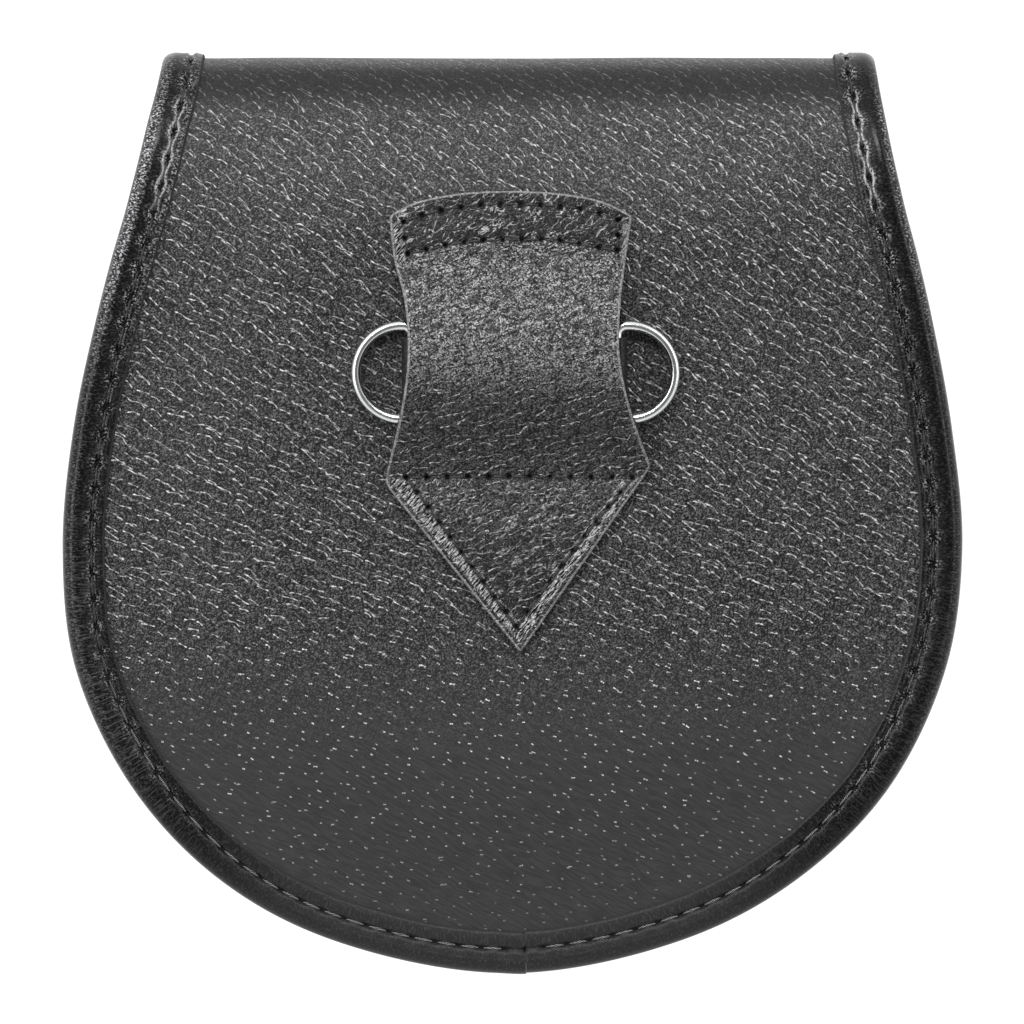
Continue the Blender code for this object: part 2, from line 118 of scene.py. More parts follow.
view = {
    "height": 2.4,  # camera above the level at which the outline is measured
    "outlineLevel": 0.036,
    "frameWidth": 0.2275,
    "centre": (-0.0001, -0.0003),
    "sensor": 36,
}
camera = bpy.data.objects.new("camera", bpy.data.cameras.new("camera"))
bpy.context.scene.collection.objects.link(camera)
camera.location = (*view["centre"], view["outlineLevel"] + view["height"])
camera.data.sensor_width = view["sensor"]
camera.data.lens = view["sensor"] * view["height"] / view["frameWidth"]
bpy.context.scene.camera = camera
bpy.context.scene.view_settings.view_transform = "Standard"

# each light: way round from +Y, height in degrees, distance, size across and up, radiance
lights = {
    "keySoftbox": (0, 48, 1.2, 0.4, 0.25, 17.0),
    "leftSoftbox": (-62, 42, 1.2, 1.3, 0.35, 5.0),
    "rightSoftbox": (64, 36, 1.2, 1.1, 0.2, 4.0),
}
room = {
    "walls": 0.85,  # white walls, with a dark ceiling over the camera
    "ceiling": 0.15,
    "cove": (0.68, 0.92),  # sines of the heights between which one passes into the other
    "floorSize": 14,
    "floorDrop": 0.0003,
    "floorColour": "#8c8c8c",
    "floorGlow": 0.95,
}
for name, (wayRound, up, away, across, tall, radiance) in lights.items():
    lamp = bpy.data.lights.new(name, "AREA")
    lamp.shape = "RECTANGLE"
    lamp.size, lamp.size_y = across, tall
    lamp.energy = radiance * math.pi * across * tall
    holder = bpy.data.objects.new(name, lamp)
    bpy.context.scene.collection.objects.link(holder)
    turn, rise = math.radians(wayRound), math.radians(up)
    holder.location = (
        away * math.sin(turn) * math.cos(rise), away * math.cos(turn) * math.cos(rise), away * math.sin(rise))
    holder.rotation_euler = (math.radians(90 - up), 0, math.pi - turn)
    holder.visible_camera = False
world = bpy.data.worlds.new("studio")
bpy.context.scene.world = world
world.use_nodes = True
direction = addNode(world.node_tree, "TexCoord").outputs["Generated"]
skyward = addNode(world.node_tree, "SeparateXYZ", {0: direction}).outputs["Z"]
low, high = room["cove"]
level = spread(world.node_tree, skyward, low, high, room["walls"], room["ceiling"])
background = world.node_tree.nodes["Background"]
plug(world.node_tree, background.inputs["Strength"], level)
plug(world.node_tree, background.inputs["Color"], "#ffffff")

bpy.ops.object.select_all(action="DESELECT")
bpy.ops.mesh.primitive_plane_add(size=room["floorSize"], location=(0, 0, -room["floorDrop"]))
floor = bpy.context.object
floor.name = "studioFloor"
# matt white acrylic, lit from below, so that what stands on it throws hardly any shadow
floor.data.materials.append(newMaterial(
    "backlit white acrylic", Base_Color=room["floorColour"], Roughness=0.95, Emission_Color="#ffffff",
    Emission_Strength=room["floorGlow"])[0])
print("camera, light and floor are set")


# ---- the bound sheet: side view and flat outline, in millimetres ----

sheet = {
    "backLevel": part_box("back_and_flap")[1].z / mm,
    "shoulderStart": 57.6,  # where the back starts to bend over to the fold
    "shoulderRadius": 60.0,
    "shoulderTurn": math.radians(40),
    "outline": (  # height, left edge, right edge, as seen from behind
        (98.5, -78.7, 81.4), (85.1, -81.7, 83.6), (71.8, -84.9, 86.4), (45.0, -92.0, 92.8),
        (18.3, -97.6, 97.7), (-8.5, -100.0, 100.0), (-35.2, -97.1, 96.3), (-62.0, -84.2, 83.4),
        (-82.0, -65.1, 63.2), (-95.4, -40.1, 37.8)),
    "bottom": (-0.5, -102.8),
    "flapCentre": 1.3,
    "flapHalfWidth": 79.7,
    "flapTip": -40.0,  # how high its lowest point lies
    "flapRoundness": 2.4,  # power of the superellipse
    "flapAngles": (0, 18, 34, 48, 61, 72, 82),
    "outlineSteps": 2880,
    "crown": 3.0,  # how far the back's rim lies lower than its middle
    "crownWidth": 46.0,
    "crownFade": 40.0,
    "rimWidth": 10.0,
    "flapRim": 1.3,  # the same for the flap
    "flapRimWidth": 22.0,
    "flapRimRise": 14.0,
    "leather": 1.8,
    "gap": 0.3,
}
shoulderDrop = sheet["shoulderRadius"] * (1 - math.cos(sheet["shoulderTurn"]))
foldRadius = (sheet["backLevel"] - shoulderDrop) / (1 + math.cos(sheet["shoulderTurn"]))
foldCentre = sheet["shoulderStart"] + (sheet["shoulderRadius"] - foldRadius) * math.sin(sheet["shoulderTurn"])
shoulderEnd = sheet["shoulderStart"] + sheet["shoulderRadius"] * sheet["shoulderTurn"]
flapStart = shoulderEnd + foldRadius * (math.pi - sheet["shoulderTurn"])


def sideView(along):  # outer face's y and z, and how far it has turned over from level
    bend = np.clip((along - sheet["shoulderStart"]) / sheet["shoulderRadius"], 0, sheet["shoulderTurn"])
    fold = np.clip((along - shoulderEnd) / foldRadius, 0, math.pi - sheet["shoulderTurn"])
    turn = bend + fold
    y = np.minimum(along, sheet["shoulderStart"]) - np.maximum(along - flapStart, 0)
    y = y + sheet["shoulderRadius"] * np.sin(bend) + foldRadius * (np.sin(turn) - np.sin(bend))
    z = sheet["backLevel"] - sheet["shoulderRadius"] * (1 - np.cos(bend))
    return y, z - foldRadius * (np.cos(bend) - np.cos(turn)), turn


def alongAt(height):  # how far along the leather the outer face reaches a height on the back
    height = np.asarray(height, float)
    rise = np.maximum(height - sheet["shoulderStart"], 0)
    shoulder = np.arcsin(np.minimum(rise / sheet["shoulderRadius"], math.sin(sheet["shoulderTurn"])))
    over = np.maximum(height - foldCentre - foldRadius * math.sin(sheet["shoulderTurn"]), 0)
    top = np.arcsin(np.minimum(math.sin(sheet["shoulderTurn"]) + over / foldRadius, 1))
    flat = np.minimum(height, sheet["shoulderStart"])
    return flat + sheet["shoulderRadius"] * shoulder + foldRadius * (top - sheet["shoulderTurn"])


def smoothLine(points, closed=False, steps=60):  # a curve through the points that doesn't overshoot
    points = np.array(points, float)
    if not closed:
        points = np.vstack((points[:1], points, points[-1:]))
    count = len(points)
    part = (np.arange(steps) / steps)[:, None]
    line = []
    for i in range(0 if closed else 1, count if closed else count - 2):
        a, b, c, d = (points[(i + k) % count] for k in (-1, 0, 1, 2))
        here = math.sqrt(np.linalg.norm(c - b))
        before = math.sqrt(np.linalg.norm(b - a)) or here
        after = math.sqrt(np.linalg.norm(d - c)) or here
        leave = ((c - b) / here - (c - a) / (before + here) + (b - a) / before) * here
        reach = ((d - c) / after - (d - b) / (here + after) + (c - b) / here) * here
        line.append(
            b * (2 * part**3 - 3 * part**2 + 1) + leave * (part**3 - 2 * part**2 + part)
            + c * (3 * part**2 - 2 * part**3) + reach * (part**3 - part**2))
    return np.vstack(line + [points[:1] if closed else points[-1:]])


def running(steps):
    return np.concatenate(([0.0], np.cumsum(steps)))


def runAlong(line):  # how far along the line each of its points lies
    return running(np.linalg.norm(np.diff(line, axis=0), axis=1))


def paired(*parts):
    return np.stack(np.broadcast_arrays(*parts), axis=-1)


def evenSteps(line, count):
    line = np.asarray(line, float)
    run = runAlong(line)
    wanted = np.linspace(0, run[-1], count)
    return np.column_stack([np.interp(wanted, run, column) for column in line.T])


def flapSide(side):
    angles = np.radians(sheet["flapAngles"])
    power = 2 / sheet["flapRoundness"]
    across = sheet["flapCentre"] + side * sheet["flapHalfWidth"] * np.cos(angles) ** power
    return np.column_stack((across, flapStart + (foldCentre - sheet["flapTip"]) * np.sin(angles) ** power))


heights, lefts, rights = np.array(sheet["outline"]).T
corners = [
    [sheet["bottom"]],
    np.column_stack((rights, alongAt(heights)))[::-1],
    flapSide(1),
    [(sheet["flapCentre"], flapStart + foldCentre - sheet["flapTip"])],
    flapSide(-1)[::-1],
    np.column_stack((lefts, alongAt(heights))),
]
outline = evenSteps(smoothLine(np.vstack(corners), closed=True), sheet["outlineSteps"] + 1)[:-1]
outlineLength = np.linalg.norm(outline[1] - outline[0]) * len(outline)
tipIndex = int(np.argmax(outline[:, 1]))
ways = np.roll(outline, -3, axis=0) - np.roll(outline, 3, axis=0)
ways /= np.linalg.norm(ways, axis=1)[:, None]
inwards = np.column_stack((-ways[:, 1], ways[:, 0]))


def nearTree(line):
    tree = KDTree(len(line))
    for i, (x, y) in enumerate(line):
        tree.insert((x, y, 0), i)
    tree.balance()
    return tree


def distances(tree, flat):
    return np.array([tree.find((x, y, 0))[2] for x, y in flat.reshape(-1, 2)]).reshape(flat.shape[:-1])


outlineTree = nearTree(outline)


def sink(along, rim):  # how far the leather lies inward of the plain side view near its edges
    crown = ramp(rim, sheet["crownWidth"], sheet["rimWidth"])
    crown = crown * (1 - ramp(along, sheet["shoulderStart"], sheet["shoulderStart"] + sheet["crownFade"]))
    flatRim = ramp(rim, sheet["flapRimWidth"], sheet["rimWidth"])
    flatRim = flatRim * ramp(along, flapStart - sheet["flapRimRise"], flapStart)
    return sheet["crown"] * crown + sheet["flapRim"] * flatRim


def onSheet(flat, height=0.0, rim=None):  # flat places, or at a height over them, in space
    y, z, turn = sideView(flat[..., 1])
    height = height - sink(flat[..., 1], distances(outlineTree, flat) if rim is None else rim)
    return np.stack((flat[..., 0], y + height * np.sin(turn), z + height * np.cos(turn)), axis=-1)


def edgePoints(inset, alongs, side):
    line = outline + inset * inwards
    half = line[:tipIndex + 1] if side == "right" else line[tipIndex:][::-1]
    return np.column_stack((np.interp(alongs, half[:, 1], half[:, 0]), alongs))


def edgeRun(inset, start, end):  # round the inset outline from one of its points to another
    line = outline + inset * inwards
    first = int(np.argmin(np.linalg.norm(line - start, axis=1)))
    last = int(np.argmin(np.linalg.norm(line - end, axis=1)))
    if last < first:
        last += len(line)
    between = line[np.arange(first + 1, last) % len(line)]
    return evenSteps(np.vstack(([start], between, [end])), len(line))


def readLine(line, parts):
    place = np.asarray(parts) * (len(line) - 1)
    return np.column_stack([np.interp(place, np.arange(len(line)), column) for column in line.T])


def fillBetween(lower, upper, left, right, across, up):  # rows of points between four lines
    s, t = across[None, :, None], up[:, None, None]
    ends = mix(readLine(lower, across)[None], readLine(upper, across)[None], t)
    sides = mix(readLine(left, up)[:, None], readLine(right, up)[:, None], s)
    return ends + sides - mix(mix(lower[0], lower[-1], s), mix(upper[0], upper[-1], s), t)


def roundEnd(inset, straight, corner, across, up):  # the back's or the flap's round end
    alongs = np.linspace(corner, straight, 80)
    left, right = edgePoints(inset, alongs, "left"), edgePoints(inset, alongs, "right")
    if corner < straight:
        end = edgeRun(inset, left[0], right[0])
    else:
        end = edgeRun(inset, right[0], left[0])[::-1]
    return fillBetween(end, np.vstack((left[-1], right[-1])), left, right, across, up)


def onOutline(parts):  # flat places on the outline and the ways inward there
    place = np.asarray(parts) * len(outline)
    index = np.arange(len(outline))
    read = [np.interp(place, index, column, period=len(outline)) for column in (*outline.T, *inwards.T)]
    return np.column_stack(read[:2]), np.column_stack(read[2:])


def partAt(along, side):  # how much of the way round one side is that far along the leather
    if side == "right":
        return np.interp(along, outline[:tipIndex + 1, 1], np.arange(tipIndex + 1)) / len(outline)
    back = outline[tipIndex:][::-1]
    return 1 - (1 + np.interp(along, back[:, 1], np.arange(len(back)))) / len(outline)


def wave(places, size, height):  # slow waves in soft leather
    values = [noise.noise((*(p / size), 0.5)) for p in places.reshape(-1, places.shape[-1])]
    return height * np.array(values).reshape(places.shape[:-1])


# ---- making and finishing pieces ----

def setPlaces(mesh, points):
    mesh.vertices.foreach_set("co", (points * mm).astype(np.float32).ravel())
    mesh.update()


def gridPiece(name, points, maps=None, marks=None):  # a grid primitive with its vertices in rows of points
    rows, columns = points.shape[:2]
    bpy.ops.object.select_all(action="DESELECT")
    bpy.ops.mesh.primitive_grid_add(
        x_subdivisions=columns - 1, y_subdivisions=rows - 1, size=1, calc_uvs=False)
    piece = bpy.context.object
    piece.name = piece.data.name = name
    mesh = piece.data
    setPlaces(mesh, points)
    loops = np.empty(len(mesh.loops), np.int32)
    mesh.loops.foreach_get("vertex_index", loops)
    for label, values in (maps or {}).items():
        layer = mesh.uv_layers.new(name=label)
        layer.uv.foreach_set("vector", values.reshape(-1, 2)[loops].astype(np.float32).ravel())
    for label, values in (marks or {}).items():
        mark = mesh.attributes.new(label, "FLOAT", "POINT")
        mark.data.foreach_set("value", values.astype(np.float32).ravel())
    mesh.update()
    return piece


def applyModifier(piece, kind, **settings):
    modifier = piece.modifiers.new(kind.lower(), kind)
    for name, value in settings.items():
        setattr(modifier, name, value)
    bpy.context.view_layer.objects.active = piece
    bpy.ops.object.modifier_apply(modifier=modifier.name)


def giveMaterials(piece, *materials):
    for material in materials:
        piece.data.materials.append(material)


def giveWall(piece, thickness, leather):  # the leather lies outside, its flesh side inside, cut at the edge
    giveMaterials(piece, leather, fleshLeather, cutLeather)  # first, or the wall keeps to the only material
    applyModifier(
        piece, "SOLIDIFY", thickness=thickness * mm, offset=-1, use_even_offset=True, material_offset=1,
        material_offset_rim=2)


def finishPiece(piece, body, replaced=None, sharp=40):
    bpy.ops.object.select_all(action="DESELECT")
    piece.select_set(True)
    bpy.context.view_layer.objects.active = piece
    bpy.ops.object.shade_smooth_by_angle(angle=math.radians(sharp))
    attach(piece, body)
    if replaced:
        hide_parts(replaced)
    print(piece.name, "has", sum(len(p.vertices) - 2 for p in piece.data.polygons), "triangles")


def moveOuter(piece, moves):  # moves the first vertices, which a wall keeps as its outer face
    places = np.empty(len(piece.data.vertices) * 3, np.float32)
    piece.data.vertices.foreach_get("co", places)
    places = places.reshape(-1, 3)
    moves = moves.reshape(-1, 3) * mm
    places[:len(moves)] += moves
    piece.data.vertices.foreach_set("co", places.ravel())
    piece.data.update()


def faceNormals(points):  # unit normals of rows of points
    normals = np.cross(np.gradient(points, axis=1), np.gradient(points, axis=0))
    return normals / np.linalg.norm(normals, axis=-1)[..., None]


# ---- leather finishes ----

calf = {
    "dark": "#070708",
    "pale": "#6c6c6d",
    # dash: painted highlight on the dash walls that face the key light
    "dash": "#f0f0f0",
    "even": ("#313132", "#3b3b3c"),  # the smooth hide, streaked
    "specular": 0.28,
    "roughness": (0.45, 0.24),  # ground, polished dashes
    "grain": 0.27,  # width of the smallest pebbles, mm
    "contrast": 2.9,
    "fine": 0.50,  # width and height of the swellings between them, mm
    "fineHeight": 0.15,
    "wander": (0.22, 1.5),  # turns for each mm, and how far the rows of dashes stray, mm
    "flow": math.radians(-27),  # the way the dashes slant
    "turn": (0.0005, 0.0031),  # how that way turns across and up, radians for each mm
    "scatter": 0.52,
    "bow": 0.45,
    # cell, half length and half width, a shift that parts the two sets, and depth, in mm
    "short": ((3.9, 2.7), (1.4, 0.42), (0, 0, 0), 0.17),
    "long": ((8.2, 5.0), (2.2, 0.42), (31, 17, 0), 0.15),
    "hair": (5.5, 0.42),  # length and width of the streaks in the smooth part, mm
    "hairTone": (0.36, 0.64),
    "broken": (0.4, 0.45),  # from what paleness a pebble keeps all of the painted glint, and what the darkest keeps
    "polished": 0.6,  # how strong a painted glint is where its wall is fully polished
    # where along the leather each change starts and ends, and its strength there
    "zones": {
        "shorten": (-52.0, -18.0, 5.0, 1.0),  # the dashes are dots at the bottom
        "calmFoot": (-60.0, -18.0, 0.04, 1.0),
        # the faint zones fade the painted glints on the dash walls
        "faintFoot": (-98.0, -40.0, 0.25, 1.0),
        "calmFold": (84.0, 97.0, 1.0, 0.6),
        "grainAgain": (118.0, 152.0),
        "faintFold": (88.0, 98.0, 1.0, 0.15),
        "glintsAgain": (102.0, 115.0),
        "drawnFrom": (88.0, 97.0),  # painted shade: a darker band on the fold where it turns away from the key light
        "drawnTo": (102.0, 106.0, 1.0, 0.0),
    },
    "drawn": 0.75,
}
dashShape = {
    "stray": 0.25,  # how far a dash turns out of its row, radians
    "middle": (0.2, 0.12),  # brightness half way along: for each part of shortening, and at least
    "waist": (0.04, 0.195),  # thickness there
    "hollow": (1.0, 0.0, 0.1),  # stretch and lift across, and how wide the full mask is
    "litWall": (1.5, 0.75, 0.25),
}


def smoothStep(tree, value, low, high, first=0.0, last=1.0):  # a smooth step of a value, as a node
    return spread(tree, value, low, high, first, last, interpolation_type="SMOOTHSTEP")


def multiply(tree, *parts):
    product = parts[0]
    for part in parts[1:]:
        product = combine(tree, "MULTIPLY", product, part)
    return product


def blendColours(tree, share, first, second):
    return addNode(tree, "Mix", {0: share, 6: first, 7: second}, data_type="RGBA").outputs[2]


def zonesOf(tree, surface, look):  # each zone's strength, from how far along the leather a place lies
    place = addNode(tree, "SeparateXYZ", {0: surface}).outputs["Y"]
    return {name: smoothStep(tree, place, *limits) for name, limits in look["zones"].items()}


def marksOf(tree, *labels):
    return [addNode(tree, "Attribute", attribute_name=label).outputs["Fac"] for label in labels]


def softNoise(tree, surface, scale=1.0, **settings):
    return addNode(tree, "TexNoise", {"Vector": surface, "Scale": scale, **settings}, noise_dimensions="2D")


def straying(tree, surface, look):  # the surface's places, pushed about so that no row runs straight
    often, far = look["wander"]
    pushes = softNoise(tree, surface, often, Detail=2.0)
    return combine(tree, "MULTIPLY_ADD", pushes.outputs["Color"], (far, far, 0), surface, kind="VectorMath")


def laidOut(tree, surface, way, size, shift=(0, 0, 0)):  # places turned that way and counted in that size
    return addNode(
        tree, "Mapping", {"Vector": surface, "Location": shift, "Rotation": (0, 0, way), "Scale": (*size, 1)},
        vector_type="TEXTURE")


def folds(tree, surface, way, size, **settings):  # noise drawn out one way, its length and width in mm
    return softNoise(tree, laidOut(tree, surface, way, size), **settings)


def raised(tree, height, lift=mm):
    return addNode(tree, "Bump", {"Strength": 1.0, "Distance": lift, "Height": height})


def slantedDashes(tree, surface, look, kind, shorten=1.0):  # a bent hollow in each cell, and its lit wall
    spacing, size, shift = look[kind][:3]
    cells = laidOut(tree, surface, look["flow"], spacing, shift)
    nearest = addNode(
        tree, "TexVoronoi", {"Vector": cells, "Scale": 1.0, "Randomness": look["scatter"]},
        voronoi_dimensions="2D")
    chance = addNode(tree, "SeparateColor", {0: nearest.outputs["Color"]})
    away = combine(tree, "SUBTRACT", cells, nearest.outputs["Position"], kind="VectorMath")
    away = combine(tree, "MULTIPLY", away, (*spacing, 0), kind="VectorMath")
    slant = combine(tree, "DOT_PRODUCT", surface, (*look["turn"], 0), kind="VectorMath")
    stray = spread(tree, chance.outputs[2], first=-dashShape["stray"], last=dashShape["stray"])
    slant = combine(tree, "ADD", slant.outputs["Value"], stray)
    turned = addNode(tree, "VectorRotate", {"Vector": away, "Angle": slant}, rotation_type="Z_AXIS")
    shaped = combine(tree, "MULTIPLY", turned, (1 / size[0], 1 / size[1], 0), kind="VectorMath")
    x, y = addNode(tree, "SeparateXYZ", {0: shaped}).outputs[:2]
    bent = combine(tree, "MULTIPLY_ADD", multiply(tree, x, x), look["bow"], y)  # each dash bows upward
    along = combine(tree, "ABSOLUTE", multiply(tree, x, shorten))
    middle, waist = (
        combine(tree, "MULTIPLY_ADD", shorten, share, least)
        for share, least in (dashShape["middle"], dashShape["waist"]))
    taper = spread(tree, along, first=waist)  # thin between two thicker ends
    end = combine(tree, "POWER", along, 4.0)
    strength = multiply(
        tree, spread(tree, chance.outputs[1], high=0.7, first=0.4),
        spread(tree, along, high=0.8, first=middle))
    masks = []
    for stretch, lift, inner in (dashShape["hollow"], dashShape["litWall"]):
        side = combine(tree, "MULTIPLY_ADD", bent, stretch, lift)
        side = combine(tree, "DIVIDE", side, taper)
        spot = addNode(tree, "CombineXYZ", {0: end, 1: side})
        length = combine(tree, "LENGTH", spot, kind="VectorMath").outputs["Value"]
        mask = spread(tree, length, inner, first=1.0, last=0.0)
        masks.append(multiply(tree, mask, strength))
    return masks


def fineGrain(tree, surface, look):  # height in mm, and a value for each of the smallest pebbles
    pebbles = addNode(
        tree, "TexVoronoi", {"Vector": surface, "Scale": 1 / look["grain"], "Randomness": 1.0},
        voronoi_dimensions="2D")
    value = addNode(tree, "SeparateColor", {0: pebbles.outputs["Color"]})
    value = combine(tree, "POWER", value, look["contrast"])
    swell = softNoise(tree, surface, 1 / look["fine"], Detail=2.0)
    return multiply(tree, swell, look["fineHeight"]), value


def layered(tree, height, *layers):  # adds masks to a height, each with how high it stands
    for mask, lift in layers:
        height = combine(tree, "MULTIPLY_ADD", mask, lift, height)
    return height


def brokenBy(tree, grain, look):  # painted glints and pale marks are broken up by the darkest pebbles
    pale, least = look["broken"]
    return spread(tree, grain, high=pale, first=least)


def strongest(tree, first, *others):
    for other in others:
        first = combine(tree, "MAXIMUM", first, other)
    return first


def grainedCalf():  # drum-dyed embossed calf: slanted dashes, with painted highlights on their walls that face the key light
    material, tree = newMaterial("embossed calf leather", IOR=1.5, Specular_IOR_Level=calf["specular"])
    flat = addNode(tree, "UVMap", uv_map="flat")
    zone = zonesOf(tree, flat, calf)
    surface = straying(tree, flat, calf)
    hollow, lit = slantedDashes(tree, surface, calf, "short", zone["shorten"])
    longHollow, longLit = slantedDashes(tree, surface, calf, "long", zone["shorten"])
    # the hide is stretched smooth at the bottom and over the fold, and has its grain again on the flap; the
    # painted glints fade in the same places
    calm = multiply(tree, zone["calmFoot"], strongest(tree, zone["calmFold"], zone["grainAgain"]))
    faint = multiply(tree, zone["faintFoot"], strongest(tree, zone["faintFold"], zone["glintsAgain"]))
    height, grain = fineGrain(tree, flat, calf)
    height = layered(tree, height, (hollow, -calf["short"][-1]), (longHollow, -calf["long"][-1]))
    hairs = folds(tree, surface, calf["flow"], calf["hair"], Detail=2.0)
    hairs = smoothStep(tree, hairs, *calf["hairTone"])
    tone = blendColours(tree, grain, calf["dark"], calf["pale"])
    tone = blendColours(tree, calm, blendColours(tree, hairs, *calf["even"]), tone)
    # painted shade on the fold, where it turns away from the key light
    drawn = multiply(tree, zone["drawnFrom"], zone["drawnTo"], calf["drawn"])
    tone = blendColours(tree, drawn, tone, calf["dark"])
    # painted highlights: the dash walls that face the key light are paler, and smoother too
    paintedGlint = multiply(tree, strongest(tree, lit, longLit), brokenBy(tree, grain, calf), faint)
    ground, polished = calf["roughness"]
    setShader(
        material, Base_Color=blendColours(tree, paintedGlint, tone, calf["dash"]),
        Roughness=spread(tree, paintedGlint, high=calf["polished"], first=ground, last=polished),
        Normal=raised(tree, multiply(tree, height, calm)))
    return material


# bare fibres: size and height in mm
fleshLook = {
    "colours": ("#121213", "#2b2a2a"), "size": 0.5, "height": 0.12, "noise": (4.0, 0.65), "roughness": 0.92,
    "specular": 0.2}
cutLook = {
    "colours": ("#161616", "#444444"), "size": 0.25, "height": 0.08, "noise": (3.0, 0.5), "roughness": 0.75,
    "specular": 0.15}


def bareFibres(name, look):  # the matt nap of the flesh side, or a knife-cut edge with its paler layers
    material, tree = newMaterial(
        name, Roughness=look["roughness"], IOR=1.45, Specular_IOR_Level=look["specular"])
    spot = addNode(tree, "TexCoord").outputs["Object"]
    detail, ragged = look["noise"]
    size = look["size"] * mm
    fibres = addNode(
        tree, "TexNoise", {"Vector": spot, "Scale": 1 / size, "Detail": detail, "Roughness": ragged})
    setShader(
        material, Base_Color=blendColours(tree, fibres, *look["colours"]),
        Normal=raised(tree, fibres, look["height"] * mm))
    return material


calfLeather = grainedCalf()
fleshLeather = bareFibres("dyed flesh side", fleshLook)
cutLeather = bareFibres("knife-cut leather edge", cutLook)
print("sheet finishes are made")


soft = {
    # worn: paler where the glaze is worn off at the bottom, partly matt leather and partly painted sheen
    "worn": "#282829",
    "dark": "#0b0b0c",
    # pale specks and glints are painted highlights on the upper flanks, the wrinkle crests and beside the
    # seam
    "pale": "#58585a",
    "glint": "#d4d4d6",
    "specular": 0.17,
    "roughness": (0.42, 0.22),  # where the glaze is worn, where it is whole
    "grain": 0.30,
    "contrast": 2.2,
    "fine": 0.55,
    "fineHeight": 0.03,
    # wrinkles: width, length and height in mm, and how much of each crest gets a painted glint
    "wrinkles": {
        "pucker": (0.45, 0.6, 0.40, 0.9),  # round a needle hole, with painted glints on the crests
        "gather": (0.5, 3.2, 0.18, 0.06),  # across the roll where it curves, with faint painted glints
        "coarse": (0.36, 0.7, 0.13, 0.75),  # where the strip is drawn round a thick edge; on the upper flanks it carries painted highlight specks
    },
    "crest": (0.54, 0.66),
    "line": (0.32, 0.5),  # the painted highlight lines beside the seam break where the puckers are deep
    "plain": {"coarse": 0.05, "glazed": 0.6},  # marks of a strip that no seam draws
}


def softLeather():  # thin pliable calf, glazed black: binding, gusset and keeper
    material, tree = newMaterial("glazed binding calf", IOR=1.5, Specular_IOR_Level=soft["specular"])
    strip = addNode(tree, "UVMap", uv_map="strip")
    line, glazed, coarse = marksOf(tree, "line", "glazed", "coarse")
    height, grain = fineGrain(tree, strip, soft)
    glints = 0.0
    for label, (*size, lift, shine) in soft["wrinkles"].items():
        mark, = marksOf(tree, label)
        wrinkles = folds(tree, strip, 0.0, size, Detail=1.0, Distortion=0.5)
        height = layered(tree, height, (wrinkles, multiply(tree, mark, lift)))
        # painted glints on the crests of the wrinkles
        crest = multiply(tree, smoothStep(tree, wrinkles, *soft["crest"]), mark, shine)
        glints = strongest(tree, crest, glints)
        if label == "pucker":
            line = multiply(tree, smoothStep(tree, wrinkles, *soft["line"]), line)
            glints = strongest(tree, line, glints)
    # paler at the bottom where the glaze is worn, partly painted sheen
    tone = blendColours(tree, glazed, soft["worn"], soft["dark"])
    # painted highlight specks on the upper flanks and beyond the seam
    tone = blendColours(tree, multiply(tree, grain, coarse), tone, soft["pale"])
    worn, whole = soft["roughness"]
    setShader(
        material, Base_Color=blendColours(tree, glints, tone, soft["glint"]), Normal=raised(tree, height),
        Roughness=spread(tree, glazed, first=worn, last=whole))
    return material


pulled = {
    "dark": "#060607",
    "pale": "#bcbcbc",
    # dash and line are painted highlights on the crease walls and the crinkle ridges that face the light
    "dash": "#e8e8e8",
    "line": "#e4e4e4",
    "nap": "#d6d6d6",
    "napDark": "#0c0c0c",
    "cut": "#9c9c9c",
    # hole: painted shade in the needle holes
    "hole": "#040404",
    "specular": 0.2,
    "roughness": (0.48, 0.9),  # face, nap
    "grain": 0.26,
    "contrast": 2.2,
    "fine": 0.50,
    "fineHeight": 0.20,
    "wander": (0.3, 2.0),
    "flow": math.radians(19),
    "turn": (0.0, 0.0),
    "scatter": 0.8,
    "bow": 0.35,
    "crease": ((3.6, 2.1), (1.45, 0.33), (5, 3, 0), 0.16),
    # each with its way, then length, width and height in mm
    "buckle": (math.radians(31), 3.4, 1.25, 0.16),  # crinkles, with painted highlights on their ridges, brightest in the band and at the foot
    "ridge": 0.034,  # how near its middle value a crinkle gets a painted highlight line
    # painted shade in the crinkle valleys and in the arch's furrows and creases
    "valleyShade": (0.36, 0.47, 0.75, 0.0),
    "lozenge": (math.radians(14), 9.0, 2.3, 0.16),  # raised islands of the arch, with furrows between them
    "furrow": (0.02, 0.075, 1.0, 0.0),
    "furrowBreaks": (0.36, 0.56),
    "furrowShade": 0.75,
    "fibre": (math.radians(48), 2.0, 0.36, 0.25),  # of the nap beside the seams
    "fibreTone": (0.41, 0.61),
    "broken": (0.6, 0.4),
    "edge": (0.42, 0.58),  # how far in the worn edge reaches, mm
    # painted light and shade: the pale grain is lighter on the upper arch, which faces the light, and darker
    # toward the tip; it is darker in the band, and the crinkles' painted highlights show most in the band
    "archLitGround": (0.0, 1.0, 0.26, 1.0),
    "bandGround": (0.0, 1.0, 1.0, 0.5),
    # how strong the painted highlights on the crinkle ridges are, at the foot and elsewhere
    "footRidgeGlints": 0.55,
    "ridgeGlints": (0.85, 0.1),
    "zones": {
        "arch": (21.0, 42.0),
        "foot": (6.9, 8.1, 1.0, 0.0),
        "upperPart": (6.9, 8.1),
        # painted shade: the pale grain and the ridge highlights dim toward the tip
        "footShade": (-16.0, 9.0, 0.4, 1.0),
        "footGlintFade": (-18.0, 4.0, 0.7, 1.0),
    },
}


